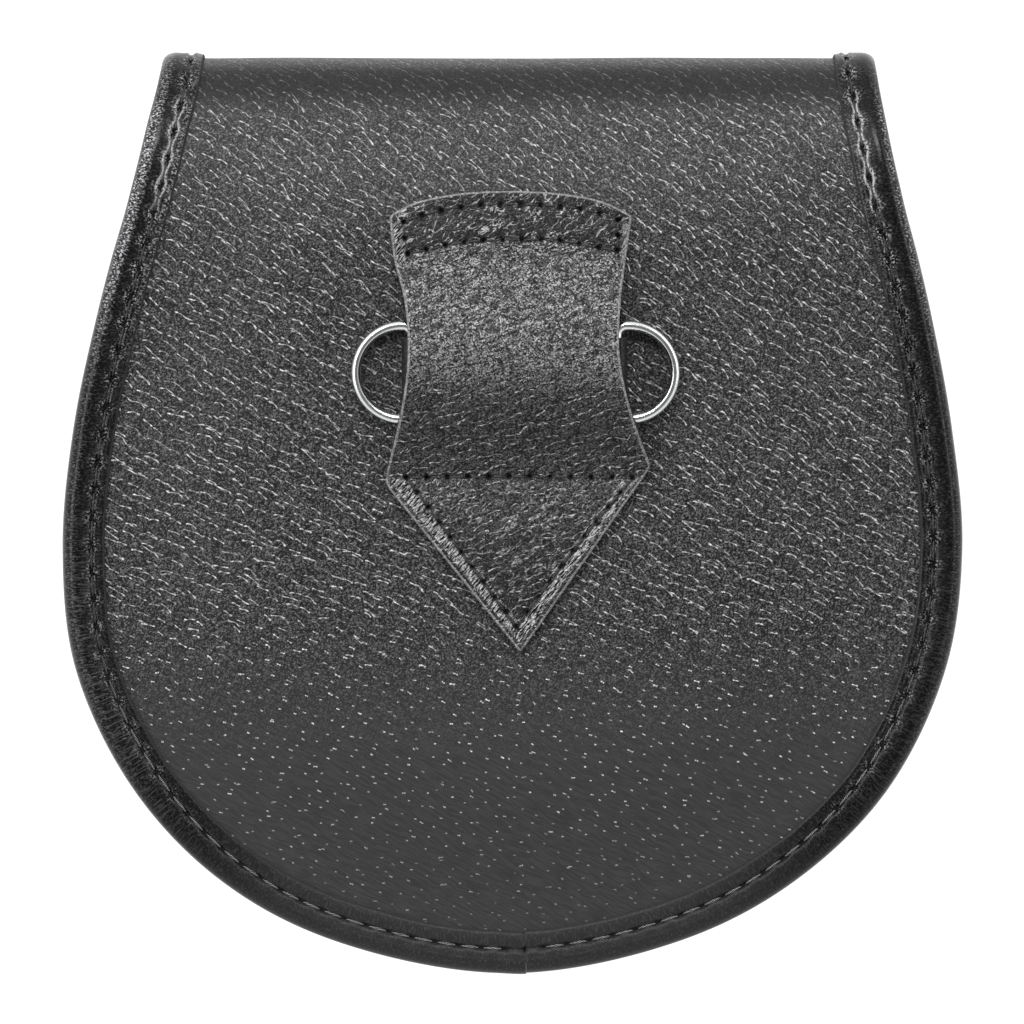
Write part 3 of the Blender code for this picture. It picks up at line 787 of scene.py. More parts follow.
def tabLeather():  # heavier strap calf with a fine pebbled face, pared and napped beside the seams
    material, tree = newMaterial(
        "strap calf with pared seams", IOR=1.5, Specular_IOR_Level=pulled["specular"])
    flat = addNode(tree, "UVMap", uv_map="flat")
    surface = straying(tree, flat, pulled)
    zone = zonesOf(tree, flat, pulled)
    band, nap, fromEdge, hole = marksOf(tree, "band", "nap", "fromEdge", "hole")
    outside = combine(tree, "SUBTRACT", 1.0, band)
    arch = multiply(tree, zone["arch"], outside)
    plain = combine(tree, "SUBTRACT", 1.0, arch)
    hollow, lit = slantedDashes(tree, surface, pulled, "crease")
    height, grain = fineGrain(tree, flat, pulled)
    way, *size, buckleLift = pulled["buckle"]
    buckle = folds(tree, surface, way, size, Detail=2.0, Distortion=0.3)
    ridge = combine(tree, "SUBTRACT", buckle, 0.5)
    ridge = combine(tree, "ABSOLUTE", ridge)
    ridge = spread(tree, ridge, high=pulled["ridge"], first=1.0, last=0.0)
    way, *size, napLift = pulled["fibre"]
    fibre = folds(tree, flat, way, size, Detail=3.0, Distortion=0.7)
    way, *size, deep = pulled["lozenge"]
    islands = addNode(
        tree, "TexVoronoi", {"Vector": laidOut(tree, flat, way, size), "Scale": 1.0, "Randomness": 0.8},
        voronoi_dimensions="2D", feature="DISTANCE_TO_EDGE")
    furrow = multiply(
        tree, smoothStep(tree, islands, *pulled["furrow"]), smoothStep(tree, buckle, *pulled["furrowBreaks"]),
        zone["upperPart"], outside, pulled["furrowShade"])
    height = layered(
        tree, height, (furrow, -deep), (hollow, -pulled["crease"][-1]), (ridge, buckleLift),
        (fibre, multiply(tree, nap, napLift)))
    # painted light: the pale grain shows most on the upper arch, least toward the tip
    ground = multiply(
        tree, smoothStep(tree, arch, *pulled["archLitGround"]), smoothStep(tree, band, *pulled["bandGround"]),
        zone["footShade"])
    tone = blendColours(tree, multiply(tree, grain, ground), pulled["dark"], pulled["pale"])
    # painted highlights on the crinkle ridges, fading toward the tip
    share, least = pulled["ridgeGlints"]
    ridgeGlints = strongest(tree, band, multiply(tree, zone["foot"], pulled["footRidgeGlints"]))
    ridgeGlints = combine(tree, "MULTIPLY_ADD", ridgeGlints, share, least)
    ridgeGlints = multiply(tree, ridgeGlints, zone["footGlintFade"])
    broken = brokenBy(tree, grain, pulled)
    tone = blendColours(tree, multiply(tree, ridge, ridgeGlints, broken), tone, pulled["line"])
    # painted shade in the creases, valleys and furrows of the arch
    creaseShade = multiply(tree, strongest(tree, hollow, smoothStep(tree, buckle, *pulled["valleyShade"])), arch)
    tone = blendColours(tree, strongest(tree, creaseShade, furrow), tone, pulled["dark"])
    # painted highlights on the crease walls that face the light, off the arch
    tone = blendColours(tree, multiply(tree, lit, plain, outside, broken), tone, pulled["dash"])
    combed = multiply(tree, smoothStep(tree, fibre, *pulled["fibreTone"]), broken)
    tone = blendColours(tree, nap, tone, blendColours(tree, combed, pulled["napDark"], pulled["nap"]))
    cut = multiply(tree, smoothStep(tree, fromEdge, *pulled["edge"], 1.0, 0.0), broken)
    tone = blendColours(tree, cut, tone, pulled["cut"])
    face, napped = pulled["roughness"]
    # painted shade in the needle holes
    setShader(
        material, Base_Color=blendColours(tree, hole, tone, pulled["hole"]), Normal=raised(tree, height),
        Roughness=spread(tree, nap, first=face, last=napped))
    return material


spun = {
    # ply: the colour of the painted highlights on the plies
    "dark": "#161617", "ply": "#9a9a9c", "roughness": 0.3, "plies": 3.0, "height": 0.05, "lift": 0.6,
    "lowGlint": (-60.0, -25.0, 1.0, 0.15),  # where up the pouch the painted highlights on its plies fade
    # which part of each ply gets the painted highlight
    "paintedGlint": (0.55, 0.9),
}


def threadFinish():  # three-ply waxed polyester: the plies are slanted ridges along the stitch, with painted highlights on them
    material, tree = newMaterial("waxed polyester thread", Roughness=spun["roughness"])
    wound = addNode(tree, "TexCoord")
    plies = addNode(
        tree, "TexWave", {"Vector": wound.outputs["UV"], "Scale": spun["plies"]},
        bands_direction="DIAGONAL").outputs["Fac"]
    # painted highlights on the plies, strongest low on the pouch, where the light catches the thread
    place = addNode(tree, "SeparateXYZ", {0: wound.outputs["Object"]}).outputs["Y"]
    first, last, paintedGlint, kept = spun["lowGlint"]
    lowGlint = smoothStep(tree, place, first * mm, last * mm, paintedGlint, kept)
    shine = multiply(tree, smoothStep(tree, plies, *spun["paintedGlint"]), lowGlint)
    bump = addNode(tree, "Bump", {"Strength": spun["lift"], "Distance": spun["height"] * mm, "Height": plies})
    setShader(material, Base_Color=blendColours(tree, shine, spun["dark"], spun["ply"]), Normal=bump)
    return material


# each metal: colour, and the roughness where it is least handled
metal = {"polished chrome plate": ("#f0f1f2", 0.13), "satin nickel plate": ("#b9b5ac", 0.28)}
handling = {"size": 1.5, "marks": (0.35, 0.75), "dulled": 2.2}  # size in mm, and how much rougher they are


def plated(name):  # plated wire or turned metal with faint handling marks
    colour, roughness = metal[name]
    material, tree = newMaterial(name, Base_Color=colour, Metallic=1.0)
    spot, size = addNode(tree, "TexCoord").outputs["Object"], handling["size"] * mm
    marks = addNode(tree, "TexNoise", {"Vector": spot, "Scale": 1 / size, "Detail": 5.0, "Roughness": 0.7})
    first, last = handling["marks"]
    setShader(material, Roughness=spread(tree, marks, first, last, roughness, roughness * handling["dulled"]))
    return material


bindingLeather, tabCalf, waxedThread = softLeather(), tabLeather(), threadFinish()
chrome, satinNickel = plated("polished chrome plate"), plated("satin nickel plate")
print("all finishes are made")


# ---- back, fold and flap ----

backPiece = {
    "across": 142,
    "endRows": 119,
    "step": 1.32,
    "flapStep": 2.4,
    "corner": -75.0,  # how high the corners of the round end's grid lie
    "flapCorner": 0.66,  # and the flap's, as a part of its length
    "inset": 2.3,
    # soft waves: size and height, kept off the tab (middle, half size, fade), the rim and the flap
    "wave": (34.0, 0.22),
    "tab": (22.0, (52.0, 68.0), 0.35),
    "rim": (10.0, 24.0),
    "flap": (8.0, 18.0),
}


def backAndFlap():
    inset, corner = backPiece["inset"], backPiece["corner"]
    across = np.linspace(0, 1, backPiece["across"] + 1)
    up = np.linspace(0, 1, backPiece["endRows"])
    rows = [roundEnd(inset, sheet["shoulderStart"], corner, across, up)]
    count = round((flapStart - sheet["shoulderStart"]) / backPiece["step"])
    bends = np.linspace(sheet["shoulderStart"], flapStart, count)[1:]
    left, right = (edgePoints(inset, bends, side) for side in ("left", "right"))
    rows.append(mix(left[:, None], right[:, None], across[None, :, None]))
    tip = outline[tipIndex, 1]
    corner = mix(flapStart, tip, backPiece["flapCorner"])
    up = np.linspace(0, 1, round((tip - flapStart) / backPiece["flapStep"]))
    rows.append(roundEnd(inset, flapStart, corner, across, up)[::-1][1:])
    flat = np.vstack(rows)
    rim = distances(outlineTree, flat)
    middle, (wide, tall), fade = backPiece["tab"]
    height = wave(flat, *backPiece["wave"]) * ramp(rim, *backPiece["rim"])
    height = height * ramp(np.hypot(flat[..., 0] / wide, (flat[..., 1] - middle) / tall), 1, 1 + fade)
    height = height * ramp(flapStart - flat[..., 1], *backPiece["flap"])
    piece = gridPiece("grainedBackAndFlap", onSheet(flat, height, rim), {"flat": flat})
    giveWall(piece, sheet["leather"], calfLeather)
    finishPiece(piece, "pouch", "back_and_flap")


backAndFlap()


# ---- edge binding: a folded strip with a sewn groove ----

binding = {
    "joint": 3.1,  # where its ends meet, right of the middle of the bottom
    "gap": 0.02,
    "ends": (0, 0.12, 0.3, 0.6, 1.0),  # finer stations at each end
    "step": 0.62,
    "phase": 0.2,  # how much of a stitch the row begins with
    "leather": 1.0,
    "crest": 3.0,  # how far in the roll is highest
    "slot": (8.6, 5.0, 2.0),  # stations of the inner side, to where the sheet's edge lies
    # the lip: how far in and how high over the sheet
    "lip": ((9.44, 0.06), (9.38, 0.42), (9.24, 0.72), (9.05, 0.9), (8.55, 1.0), (8.0, 1.12)),
    "lipWobble": (5.0, 0.13),
    "grooveColumns": (1.25, 0.9, 0.62, 0.4, 0.2, 0.0, -0.2, -0.4, -0.62, -0.9, -1.3, -1.75),
    "rollTurns": (80, 66, 52, 38, 25, 12),
    "groove": (0.42, 0.60),  # depth, half width
    "pit": (0.62, 0.46, 1.25),  # depth, half width and half length at each needle hole
    "pull": (0.2, 2.0),  # how far each stitch draws the leather down, and its half width
    "rollWall": 3.3,  # how wide the roll's side towards the seam is
    "ridge": (0.13, 0.95, 0.3),  # height, place and half width of the leather pushed up beside the groove
    "ridged": (-60, 0),  # where along the leather that ridge rises
    "swollen": (1.5, 6.0, 0.07),  # stretch, size and height of the roll's waves
    "pinch": (0.25, 0.5),  # how far each end is pressed down, and over what length
    "leftEndDrop": (0.25, 7.0),
    # what changes along the leather: places and values
    "seam": ((-95, 5.5), (-55, 6.5)),  # how far in the stitches lie
    "pitch": ((-95, 5.45), (-55, 6.4)),
    "swell": ((-85, 0.15), (-25, 0.75), (80, 0.75), (shoulderEnd, 0)),
    "flange": ((sheet["shoulderStart"] + 8, 1.5), (sheet["shoulderStart"] + 16, 0)),
}
# marks for the finish: how strong each is along the leather; the painted glints are strongest high up, where
# the light falls
bindingMarks = {
    "pucker": ((-85, 0.06), (-45, 0.6), (30, 0.6), (70, 1), (100, 1), (120, 0.45)),
    "lens": ((-60, 0), (-20, 0.45), (30, 0.45), (70, 1), (95, 1), (110, 0)),
    "line": ((66, 0), (74, 1), (90, 1), (98, 0)),
    "curved": ((-88, 0), (-58, 1), (-25, 1), (15, 0)),
    "flank": ((-72, 0), (-42, 1)),
    "upper": ((25, 0), (65, 1)),
    "coarse": ((88, 1), (96, 0.4), (100, 0.4), (118, 0)),
    "glazed": ((-98, 0), (-68, 1)),
}
# and across it, in mm
markShape = {
    "sides": (-40, 40),  # where the left side's values pass into the right side's
    "pucker": (1.7, 1.5),  # half length and half width
    "lens": ((0.3, 0.95), 0.22),  # how far from the seam, between holes and at them, and half width
    "bare": 0.42,  # half width of the groove, which has no puckers
    "gather": (8.5, 5.5),  # how far in each of these starts and is whole
    "flank": (0.15, 0.95),
    "inner": (1.2, 1.6),  # beyond the seam
    "flankFade": 1.8,
    "flankLow": 0.12,
    "least": 0.04,
    # on the left side, on the right side, which take the light differently
    "line": (0.85, 1.0),
    "gathered": (1.0, 0.5),
    "flankEnd": (3.7, 2.3),
    "flankHigh": (1.0, 0.8),
    "innerHigh": (0.45, 0.15),
}


def bindingLevels(along):  # upper face, lower face and the fold's lower inner side, over the sheet's face
    low = -sheet["leather"] - profile(along, binding["flange"]) - sheet["gap"]
    return sheet["gap"] + binding["leather"], low - binding["leather"], low


joint = int(np.argmin(np.abs(outline[:len(outline) // 2, 0] - binding["joint"]))) / len(outline)
ends = np.array(binding["ends"]) / outlineLength
halfGap = binding["gap"] / 2 / outlineLength
start, stop = joint + halfGap, joint + 1 - halfGap
evenStations = np.linspace(start + ends[-1], stop - ends[-1], round(outlineLength / binding["step"]))
stations = np.concatenate((start + ends[:-1], evenStations, (stop - ends[:-1])[::-1]))
stationPlaces, stationInwards = onOutline(stations)
stationRun = (stations - start) * outlineLength
seamIn, seamPitch = (profile(stationPlaces[:, 1], binding[name]) for name in ("seam", "pitch"))
seamPhase = binding["phase"] + running(np.diff(stationRun) / seamPitch[1:])


# wrinkle marks with the painted glints on them, and the painted highlight lines beside the seam
def markBinding(inward, outer, toHole, atHole):
    x, along = stationPlaces[:, :1], stationPlaces[:, 1:]
    strong = {name: profile(along, stops) for name, stops in bindingMarks.items()}
    rightness = ramp(x, *markShape["sides"])
    fromSeam = inward - seamIn[:, None]
    upper = strong["upper"]
    long, wide = markShape["pucker"]
    pucker = bell(toHole, long) * bell(fromSeam, wide) * strong["pucker"]
    places, wide = markShape["lens"]
    lens = bell(np.abs(fromSeam) - mix(*places, atHole), wide)
    pucker = np.maximum(pucker, lens * strong["lens"]) * (1 - bell(fromSeam, markShape["bare"]))
    gather = strong["curved"] * mix(*markShape["gathered"], rightness) * ramp(inward, *markShape["gather"])
    # painted highlight specks on the outer flank and beyond the seam, strongest on the upper part
    flank = ramp(inward, *markShape["flank"]) * strong["flank"]
    flank = flank * ease((mix(*markShape["flankEnd"], rightness) - inward) / markShape["flankFade"])
    flank = flank * mix(markShape["flankLow"], mix(*markShape["flankHigh"], rightness), upper)
    inner = ramp(fromSeam, *markShape["inner"]) * mix(*markShape["innerHigh"], rightness) * upper
    coarse = np.clip(markShape["least"] + np.maximum(flank, inner) * strong["coarse"], 0, 1)
    return {
        "pucker": pucker * outer, "gather": gather * outer, "coarse": coarse * outer,
        "glazed": np.broadcast_to(strong["glazed"], inward.shape),
        "line": lens * strong["line"] * mix(*markShape["line"], rightness) * outer,
    }


def edgeBinding():
    run, seam, along = stationRun[:, None], seamIn[:, None], stationPlaces[:, 1:]
    top, bottom, low = bindingLevels(along)
    middle = (top + bottom) / 2
    swell = profile(along, binding["swell"])
    one = np.ones_like(seam)
    toHole = np.abs(seamPhase - np.round(seamPhase))[:, None] * seamPitch[:, None]
    atHole = 0.5 + 0.5 * np.cos(2 * math.pi * seamPhase)[:, None]
    lipIn, lipUp = np.array(binding["lip"]).T
    wobble = wave(np.column_stack((stationRun, stationRun * 0)), *binding["lipWobble"])[:, None]
    crest = binding["crest"]
    grooveIn = seam + np.array(binding["grooveColumns"])
    lastIn = grooveIn[:, -1:]
    flatIn = np.hstack((lipIn * one + wobble, grooveIn, mix(lastIn, crest, 1 / 3), mix(lastIn, crest, 2 / 3)))
    fromSeam = flatIn - seam
    rise = swell * ramp(fromSeam, 0, -binding["rollWall"])
    depth, wide = binding["groove"]
    shape = depth * bell(fromSeam, wide)
    depth, wide = binding["pull"]
    shape = shape + depth * atHole * bell(fromSeam, wide)
    lift, beside, wide = binding["ridge"]
    lift = lift * ramp(along, *binding["ridged"]) * (0.5 + atHole)
    shape = shape - lift * bell(np.abs(fromSeam) - beside, wide)
    depth, wide, long = binding["pit"]
    shape = shape + depth * bell(fromSeam, wide) * bell(toHole, long)
    flatUp = top + rise - shape
    flatUp[:, :len(lipUp)] = lipUp * one
    turns = np.radians((90, *binding["rollTurns"]))
    rollIn, rollUp = crest * (1 - np.cos(turns)) * one, np.sin(turns) * one
    stretch, size, lift = binding["swollen"]
    swollen = wave(paired(run, rollIn * stretch), size, lift)
    high = (top + swell - middle) * rollUp
    upperIn = np.hstack((flatIn, rollIn, 0 * one))
    upperUp = np.hstack((flatUp, middle + high + swollen * rollUp, middle))
    lowerIn = np.hstack((rollIn[:, ::-1], flatIn[:, ::-1]))
    lowerUp = np.hstack((middle - high[:, ::-1], bottom - (flatUp - top)[:, ::-1]))
    first, second, slot = (place * one for place in binding["slot"])
    gap = sheet["gap"] * one
    slotIn = np.hstack((first, second, slot, slot, slot, second, first, flatIn[:, :1]))
    slotUp = np.hstack((low, low, low, mix(low, gap, 0.5), gap, gap, gap, flatUp[:, :1]))
    inward = np.hstack((upperIn, lowerIn, slotIn))
    height = np.hstack((upperUp, lowerUp, slotUp))
    outerCount = upperIn.shape[1] + lowerIn.shape[1]
    outer = np.arange(inward.shape[1]) < outerCount
    press, length = binding["pinch"]
    toEnd = np.minimum(run, stationRun[-1] - run)
    height = height - press * ramp(toEnd, length, 0) * np.sign(height - middle) * outer
    drop, length = binding["leftEndDrop"]
    inward = inward - drop * ramp(stationRun[-1] - run, length, 0)
    flat = stationPlaces[:, None] + inward[..., None] * stationInwards[:, None]
    across = running(np.mean(np.hypot(np.diff(inward, axis=1), np.diff(height, axis=1)), axis=0))
    piece = gridPiece(
        "edgeBindingStrip", onSheet(flat, height, inward), {"strip": paired(run, across)},
        markBinding(inward, outer, toHole, atHole))
    giveMaterials(piece, bindingLeather, fleshLeather, cutLeather)
    kinds = np.zeros(inward.shape[1] - 1, np.int32)
    kinds[outerCount - 1:] = 1
    kinds[:3] = kinds[outerCount - 4:outerCount - 1] = 2
    piece.data.polygons.foreach_set("material_index", np.tile(kinds, len(stations) - 1))
    faces = len(piece.data.polygons)
    bpy.ops.object.mode_set(mode="EDIT")
    bpy.ops.mesh.select_all(action="SELECT")
    bpy.ops.mesh.remove_doubles(threshold=1e-6)
    bpy.ops.mesh.fill_holes(sides=0)
    bpy.ops.mesh.select_all(action="SELECT")
    bpy.ops.mesh.normals_make_consistent(inside=False)
    bpy.ops.object.mode_set(mode="OBJECT")
    for face in piece.data.polygons[faces:]:
        face.material_index = 2
    finishPiece(piece, "pouch", "edge_binding")


edgeBinding()


# ---- stitches ----

thread = {"halfWidth": 0.30, "halfHeight": 0.26, "reach": 0.80, "facets": (8, 6), "sunk": 0.02}


def stitches(name, slot, rows, scale=1.0, reach=thread["reach"]):  # rows of needle holes with their normals
    bpy.ops.object.select_all(action="DESELECT")
    around, down = thread["facets"]
    bpy.ops.mesh.primitive_uv_sphere_add(segments=around, ring_count=down, radius=1)
    first = bpy.context.object
    copies = []
    for holes, normals in rows:
        for i in range(len(holes) - 1):
            way = Vector(holes[i + 1]) - Vector(holes[i])
            up = Vector(normals[i]) + Vector(normals[i + 1])
            length = way.length / 2 * reach
            way.normalize()
            side = up.cross(way).normalized()
            up = way.cross(side)
            middle = (Vector(holes[i]) + Vector(holes[i + 1])) / 2
            place = Matrix((
                (*(side * thread["halfWidth"] * scale), 0), (*(up * thread["halfHeight"] * scale), 0),
                (*(way * length), 0), (*middle, 1))).transposed()
            copy = first.copy()
            copy.data = first.data.copy()
            copy.data.transform(Matrix.Scale(mm, 4) @ place)
            bpy.context.scene.collection.objects.link(copy)
            copies.append(copy)
    bpy.data.objects.remove(first, do_unlink=True)
    bpy.ops.object.select_all(action="DESELECT")
    for copy in copies:
        copy.select_set(True)
    bpy.context.view_layer.objects.active = copies[0]
    bpy.ops.object.join()
    copies[0].name = copies[0].data.name = name
    giveMaterials(copies[0], waxedThread)
    finishPiece(copies[0], "pouch", sharp=180)


def bindingStitches():
    index = np.arange(len(stations))
    holes = np.interp(np.arange(1, int(seamPhase[-1]) + 1), seamPhase, index)
    x, y, inX, inY, seam = (
        np.interp(holes, index, column) for column in (*stationPlaces.T, *stationInwards.T, seamIn))
    flat = np.column_stack((x + seam * inX, y + seam * inY))
    top, bottom = bindingLevels(y)[:2]
    turn = sideView(flat[:, 1])[2]
    upward = np.column_stack((turn * 0, np.sin(turn), np.cos(turn)))
    sunk = binding["groove"][0] + thread["sunk"]
    stitches("bindingStitches", "binding_leather", [
        (onSheet(flat, top - sunk, seam), upward), (onSheet(flat, bottom + sunk, seam), -upward)])


bindingStitches()


# ---- belt tab ----

tab = {
    # its outline as the picture shows it: height, left and right edge, then the lower corners, top and tip
    "sides": (
        (66.2, -27.2, 26.9), (57.0, -26.3, 25.6), (47.5, -23.9, 24.4), (35.3, -23.1, 24.1),
        (22.5, -24.6, 26.6)),
    "corners": ((-28.4, 6.5), (31.1, 10.0)),
    "crown": ((-22.2, 68.9), (-12.6, 71.1), (-0.3, 71.8), (11.9, 71.1), (20.6, 69.3)),
    "tip": (2.0, -31.4),
    "shownAt": (0.99686, (-0.23, -0.3)),  # scale and shift from places in the picture to this camera's view
    "arch": 10.5,
    "archTop": 57.8,
    "archFoot": 7.7,
    "fullness": 1.35,  # how flat the arch is on top
    "leather": 1.8,
    "wall": 1.78,  # a little less, so that it stays off the back
    "sewnGap": 0.06,
    "sideSteps": 400,
    "footSteps": 200,
    "fine": 0.1,
    "rounding": 22,  # how many tenths of a millimetre of the edge are smoothed together at the corners
    "blunting": 70,  # and at the blunt lower left corner
    "bluntReach": 5.0,
    # steps, and how much they draw together at the edges
    "across": (134, 0.22),
    "down": (256, 0.1),
    "seamSteps": 120,
    "edge": (0.5, 0.42),  # width and drop of the worn edge
    "pressed": (0.24, 1.2),  # depth and half width of the seams' grooves
    "hole": (1.1, 0.55),
    "holeShade": (2.1, 0.45),  # painted shade in each needle hole: strength in its middle, and the distance by which it falls by 1
    "stitchLift": 0.12,
    "stitch": (0.9, 0.66),  # thickness, and how much of its pitch each fills
    "free": 3.0,  # how high the leather rises before it ripples fully
    "ripple": ((0.35, 1.0), 5.5, 0.16),  # stretch, size and height
    "unevenness": (4.0, 0.07),
    # the pared strip outside the legs: highest place, width, its fades and how deep it is
    "pared": {"top": 7.4, "width": 4.9, "fromEdge": (1.1, 1.35), "fromSeam": (0.25, 0.55), "depth": 0.12},
    # and beside the band
    "worn": {
        "middle": 0.6, "out": (23.9, 24.7), "fromEdge": (0.4, 0.7),
        "heights": ((55.5, 0), (56.7, 1), (63.6, 1), (64.8, 0))},
    "bandFade": (-0.3, 0.3),
}
# stitch rows on the tab: points of each row, and how many stitches it has
tabRows = {
    "bandTop": (
        ((-24.1, 64.8), (-20.2, 66.2), (-14.0, 67.8), (-6.0, 68.7), (4.0, 68.7), (11.5, 68.2), (18.3, 67.2),
         (23.8, 65.3)), 11),
    "bandFoot": (
        ((-23.1, 57.6), (-18.7, 58.5), (-10.5, 60.2), (-2.0, 60.7), (6.7, 60.7), (12.8, 60.3), (19.1, 59.0),
         (23.6, 58.3)), 11),
    "bandLeft": (((-24.1, 64.8), (-23.8, 61.0), (-23.1, 57.6)), 2),
    "bandRight": (((23.8, 65.3), (23.7, 62.0), (23.6, 58.3)), 2),
    "foot": (((-23.5, 7.7), (1.0, 7.9), (27.0, 7.6)), 11),
    "leftLeg": (((-23.5, 7.7), (-11.9, -7.9), (1.1, -25.6)), 10),
    "rightLeg": (((27.0, 7.6), (14.6, -7.5), (1.1, -25.6)), 10),
}


def smoothedLoop(loop, width):  # a closed line, each point the mean of that many
    window = np.hanning(width + 2)[1:-1]
    padded = np.vstack((loop[-width:], loop, loop[:width]))
    means = [np.convolve(column, window / window.sum(), mode="same") for column in padded.T]
    return np.column_stack(means)[width:-width]


def tabEdges():  # top, foot, left and right side with the corners rounded, and the whole loop
    count, half = tab["sideSteps"], tab["footSteps"] + 1
    sides = np.array(tab["sides"])
    leftCorner, rightCorner = tab["corners"]
    left = smoothLine(np.vstack((sides[:, [1, 0]], leftCorner)))
    right = smoothLine(np.vstack((sides[:, [2, 0]], rightCorner)))
    top = smoothLine(np.vstack((left[:1], tab["crown"], right[:1])))
    lines = (top, right, (rightCorner, tab["tip"]), (tab["tip"], leftCorner), left[::-1])
    loop = np.vstack([evenSteps(line, count + 1)[:-1] for line in lines])
    loop = np.vstack((loop, loop[:1]))
    place = runAlong(loop)
    steps = int(place[-1] / tab["fine"])
    smooth = smoothedLoop(evenSteps(loop, steps + 1)[:-1], tab["rounding"])
    near = bell(np.linalg.norm(smooth - leftCorner, axis=1), tab["bluntReach"])[:, None]
    smooth = mix(smooth, smoothedLoop(smooth, tab["blunting"]), near)
    marks = [int(run / place[-1] * steps) for run in place[::count]]
    marks[-1] = steps
    closed = np.vstack((smooth, smooth[:1]))
    top, right, footRight, footLeft, left = (closed[marks[k]:marks[k + 1] + 1] for k in range(len(lines)))
    foot = np.vstack((evenSteps(footLeft[::-1], half), evenSteps(footRight[::-1], half)[1:]))
    top, left, right = (evenSteps(line, count + 1) for line in (top, left[::-1], right))
    return top, foot, left, right, smooth


def tabRise(y):
    middle = (tab["archTop"] + tab["archFoot"]) / 2
    reach = np.minimum(1, np.abs(y - middle) / (tab["archTop"] - middle)) ** tab["fullness"]
    return tab["arch"] * 0.5 * (1 + np.cos(math.pi * reach))


def onTab(flat, height=0.0):  # a place on the tab's upper face that the camera sees at the flat place
    rise = tabRise(flat[..., 1])
    over = sheet["backLevel"] + sheet["gap"] + tab["leather"]
    nearer = 1 - (over + rise - view["outlineLevel"] / mm) / (view["height"] / mm)
    lean = (over - sheet["backLevel"]) * np.sin(sideView(alongAt(flat[..., 1]))[2])
    scale, shift = tab["shownAt"]
    seen = flat * scale + shift
    base = np.stack((seen[..., 0] * nearer, alongAt(seen[..., 1] * nearer - lean)), axis=-1)
    return onSheet(base, mix(tab["sewnGap"], sheet["gap"], ease(rise)) + rise + tab["leather"] + height)


tabTop, tabFoot, tabLeft, tabRight, tabLoop = tabEdges()
seamLines = {
    name: evenSteps(smoothLine(points), tab["seamSteps"] + 1) for name, (points, count) in tabRows.items()}
tabHoles = [evenSteps(seamLines[name], count + 1) for name, (points, count) in tabRows.items()]


def drawnTogether(count, part):  # steps from 0 to 1 that are closer at both ends
    even = np.linspace(0, 1, count + 1)
    return mix(even, 0.5 - 0.5 * np.cos(math.pi * even), part)


def beltTab():
    across, down = drawnTogether(*tab["across"]), drawnTogether(*tab["down"])
    flat = fillBetween(tabTop, tabFoot, tabLeft, tabRight, across, down)[::-1]
    x, y = flat[..., 0], flat[..., 1]
    fromEdge = distances(nearTree(tabLoop), flat)
    fromEdge[0] = fromEdge[-1] = fromEdge[:, 0] = fromEdge[:, -1] = 0
    fromSeam = distances(nearTree(np.vstack(list(seamLines.values()))), flat)
    fromLegs = distances(nearTree(np.vstack((seamLines["leftLeg"], seamLines["rightLeg"]))), flat)
    fromHole = distances(nearTree(np.vstack(tabHoles)), flat)
    pared, worn = tab["pared"], tab["worn"]
    strip = (fromLegs + fromEdge < pared["width"]) & (y < pared["top"])
    strip = strip * ramp(fromEdge, *pared["fromEdge"]) * ramp(fromSeam, *pared["fromSeam"])
    side = ramp(np.abs(x - worn["middle"]), *worn["out"]) * profile(y, worn["heights"])
    side = side * ramp(fromEdge, *worn["fromEdge"])
    # painted shade in each needle hole
    full, fade = tab["holeShade"]
    foot = np.interp(x, *seamLines["bandFoot"].T)
    marks = {
        "fromEdge": fromEdge, "nap": np.maximum(strip, side), "hole": np.clip(full - fromHole / fade, 0, 1),
        "band": ramp(y - foot, *tab["bandFade"])}
    width, drop = tab["edge"]
    moves = -drop * (1 - np.sqrt(1 - (1 - np.minimum(fromEdge / width, 1)) ** 2)) - pared["depth"] * strip
    for away, (depth, wide) in ((fromSeam, tab["pressed"]), (fromHole, tab["hole"])):
        moves = moves - depth * bell(away, wide)
    stretch, *ripple = tab["ripple"]
    moves = moves + wave(flat * stretch, *ripple) * ramp(tabRise(y), 0, tab["free"])
    moves = moves + wave(flat, *tab["unevenness"])
    points = onTab(flat)
    piece = gridPiece("beltTabLeather", points, {"flat": flat}, marks)
    giveWall(piece, tab["wall"], tabCalf)
    moveOuter(piece, faceNormals(points) * moves[..., None])
    finishPiece(piece, "pouch", "belt_tab", sharp=60)


def tabStitches():
    lift = tab["stitchLift"] - tab["pressed"][0]
    rows = [(onTab(holes, lift), onTab(holes, 1.0) - onTab(holes)) for holes in tabHoles]
    stitches("beltTabStitches", "tab_leather", rows, *tab["stitch"])


beltTab()
tabStitches()


# ---- D rings and the keeper that holds their bars ----

rings = {
    "radius": 11.3,
    "corner": 2.0,
    "height": 30.6,
    "bars": {"left": -22.3, "right": 23.2},
    "arcs": {"left": -24.4, "right": 25.8},  # middles of the round bows
    "wire": 1.9,
    "shown": 2.2,  # as thick as the plated wire looks; it still clears the keeper
    "bends": (14, 60),  # points of each corner and of the bow
    "stations": 160,
    "facets": 20,
}
ringSides = (("right", 1), ("left", -1))
keeper = {
    "width": 15.4,
    "lap": 10.0,  # how far each end is folded back from its bar
    "slope": 4.2,
    "loop": (120, -90, 40),  # from and to which turn it goes round a bar, and in how many points
    "leather": 1.0,
    "rows": 34,
    "step": 0.55,
    "bevel": (0.16, 60),  # width, and how sharp an edge it rounds
    "stitchIn": 2.4,
    "stitches": 5,
    "stitchMargin": 1.7,
    "stitchSunk": 0.05,
    "thread": 0.9,  # thickness against the binding's
}
barLevel = sheet["backLevel"] + 2 * sheet["gap"] + keeper["leather"] + rings["wire"] / 2


def arc(centre, radius, first, last, count):
    turns = np.radians(np.linspace(first, last, count))
    return np.column_stack((centre[0] + radius * np.cos(turns), centre[1] + radius * np.sin(turns)))


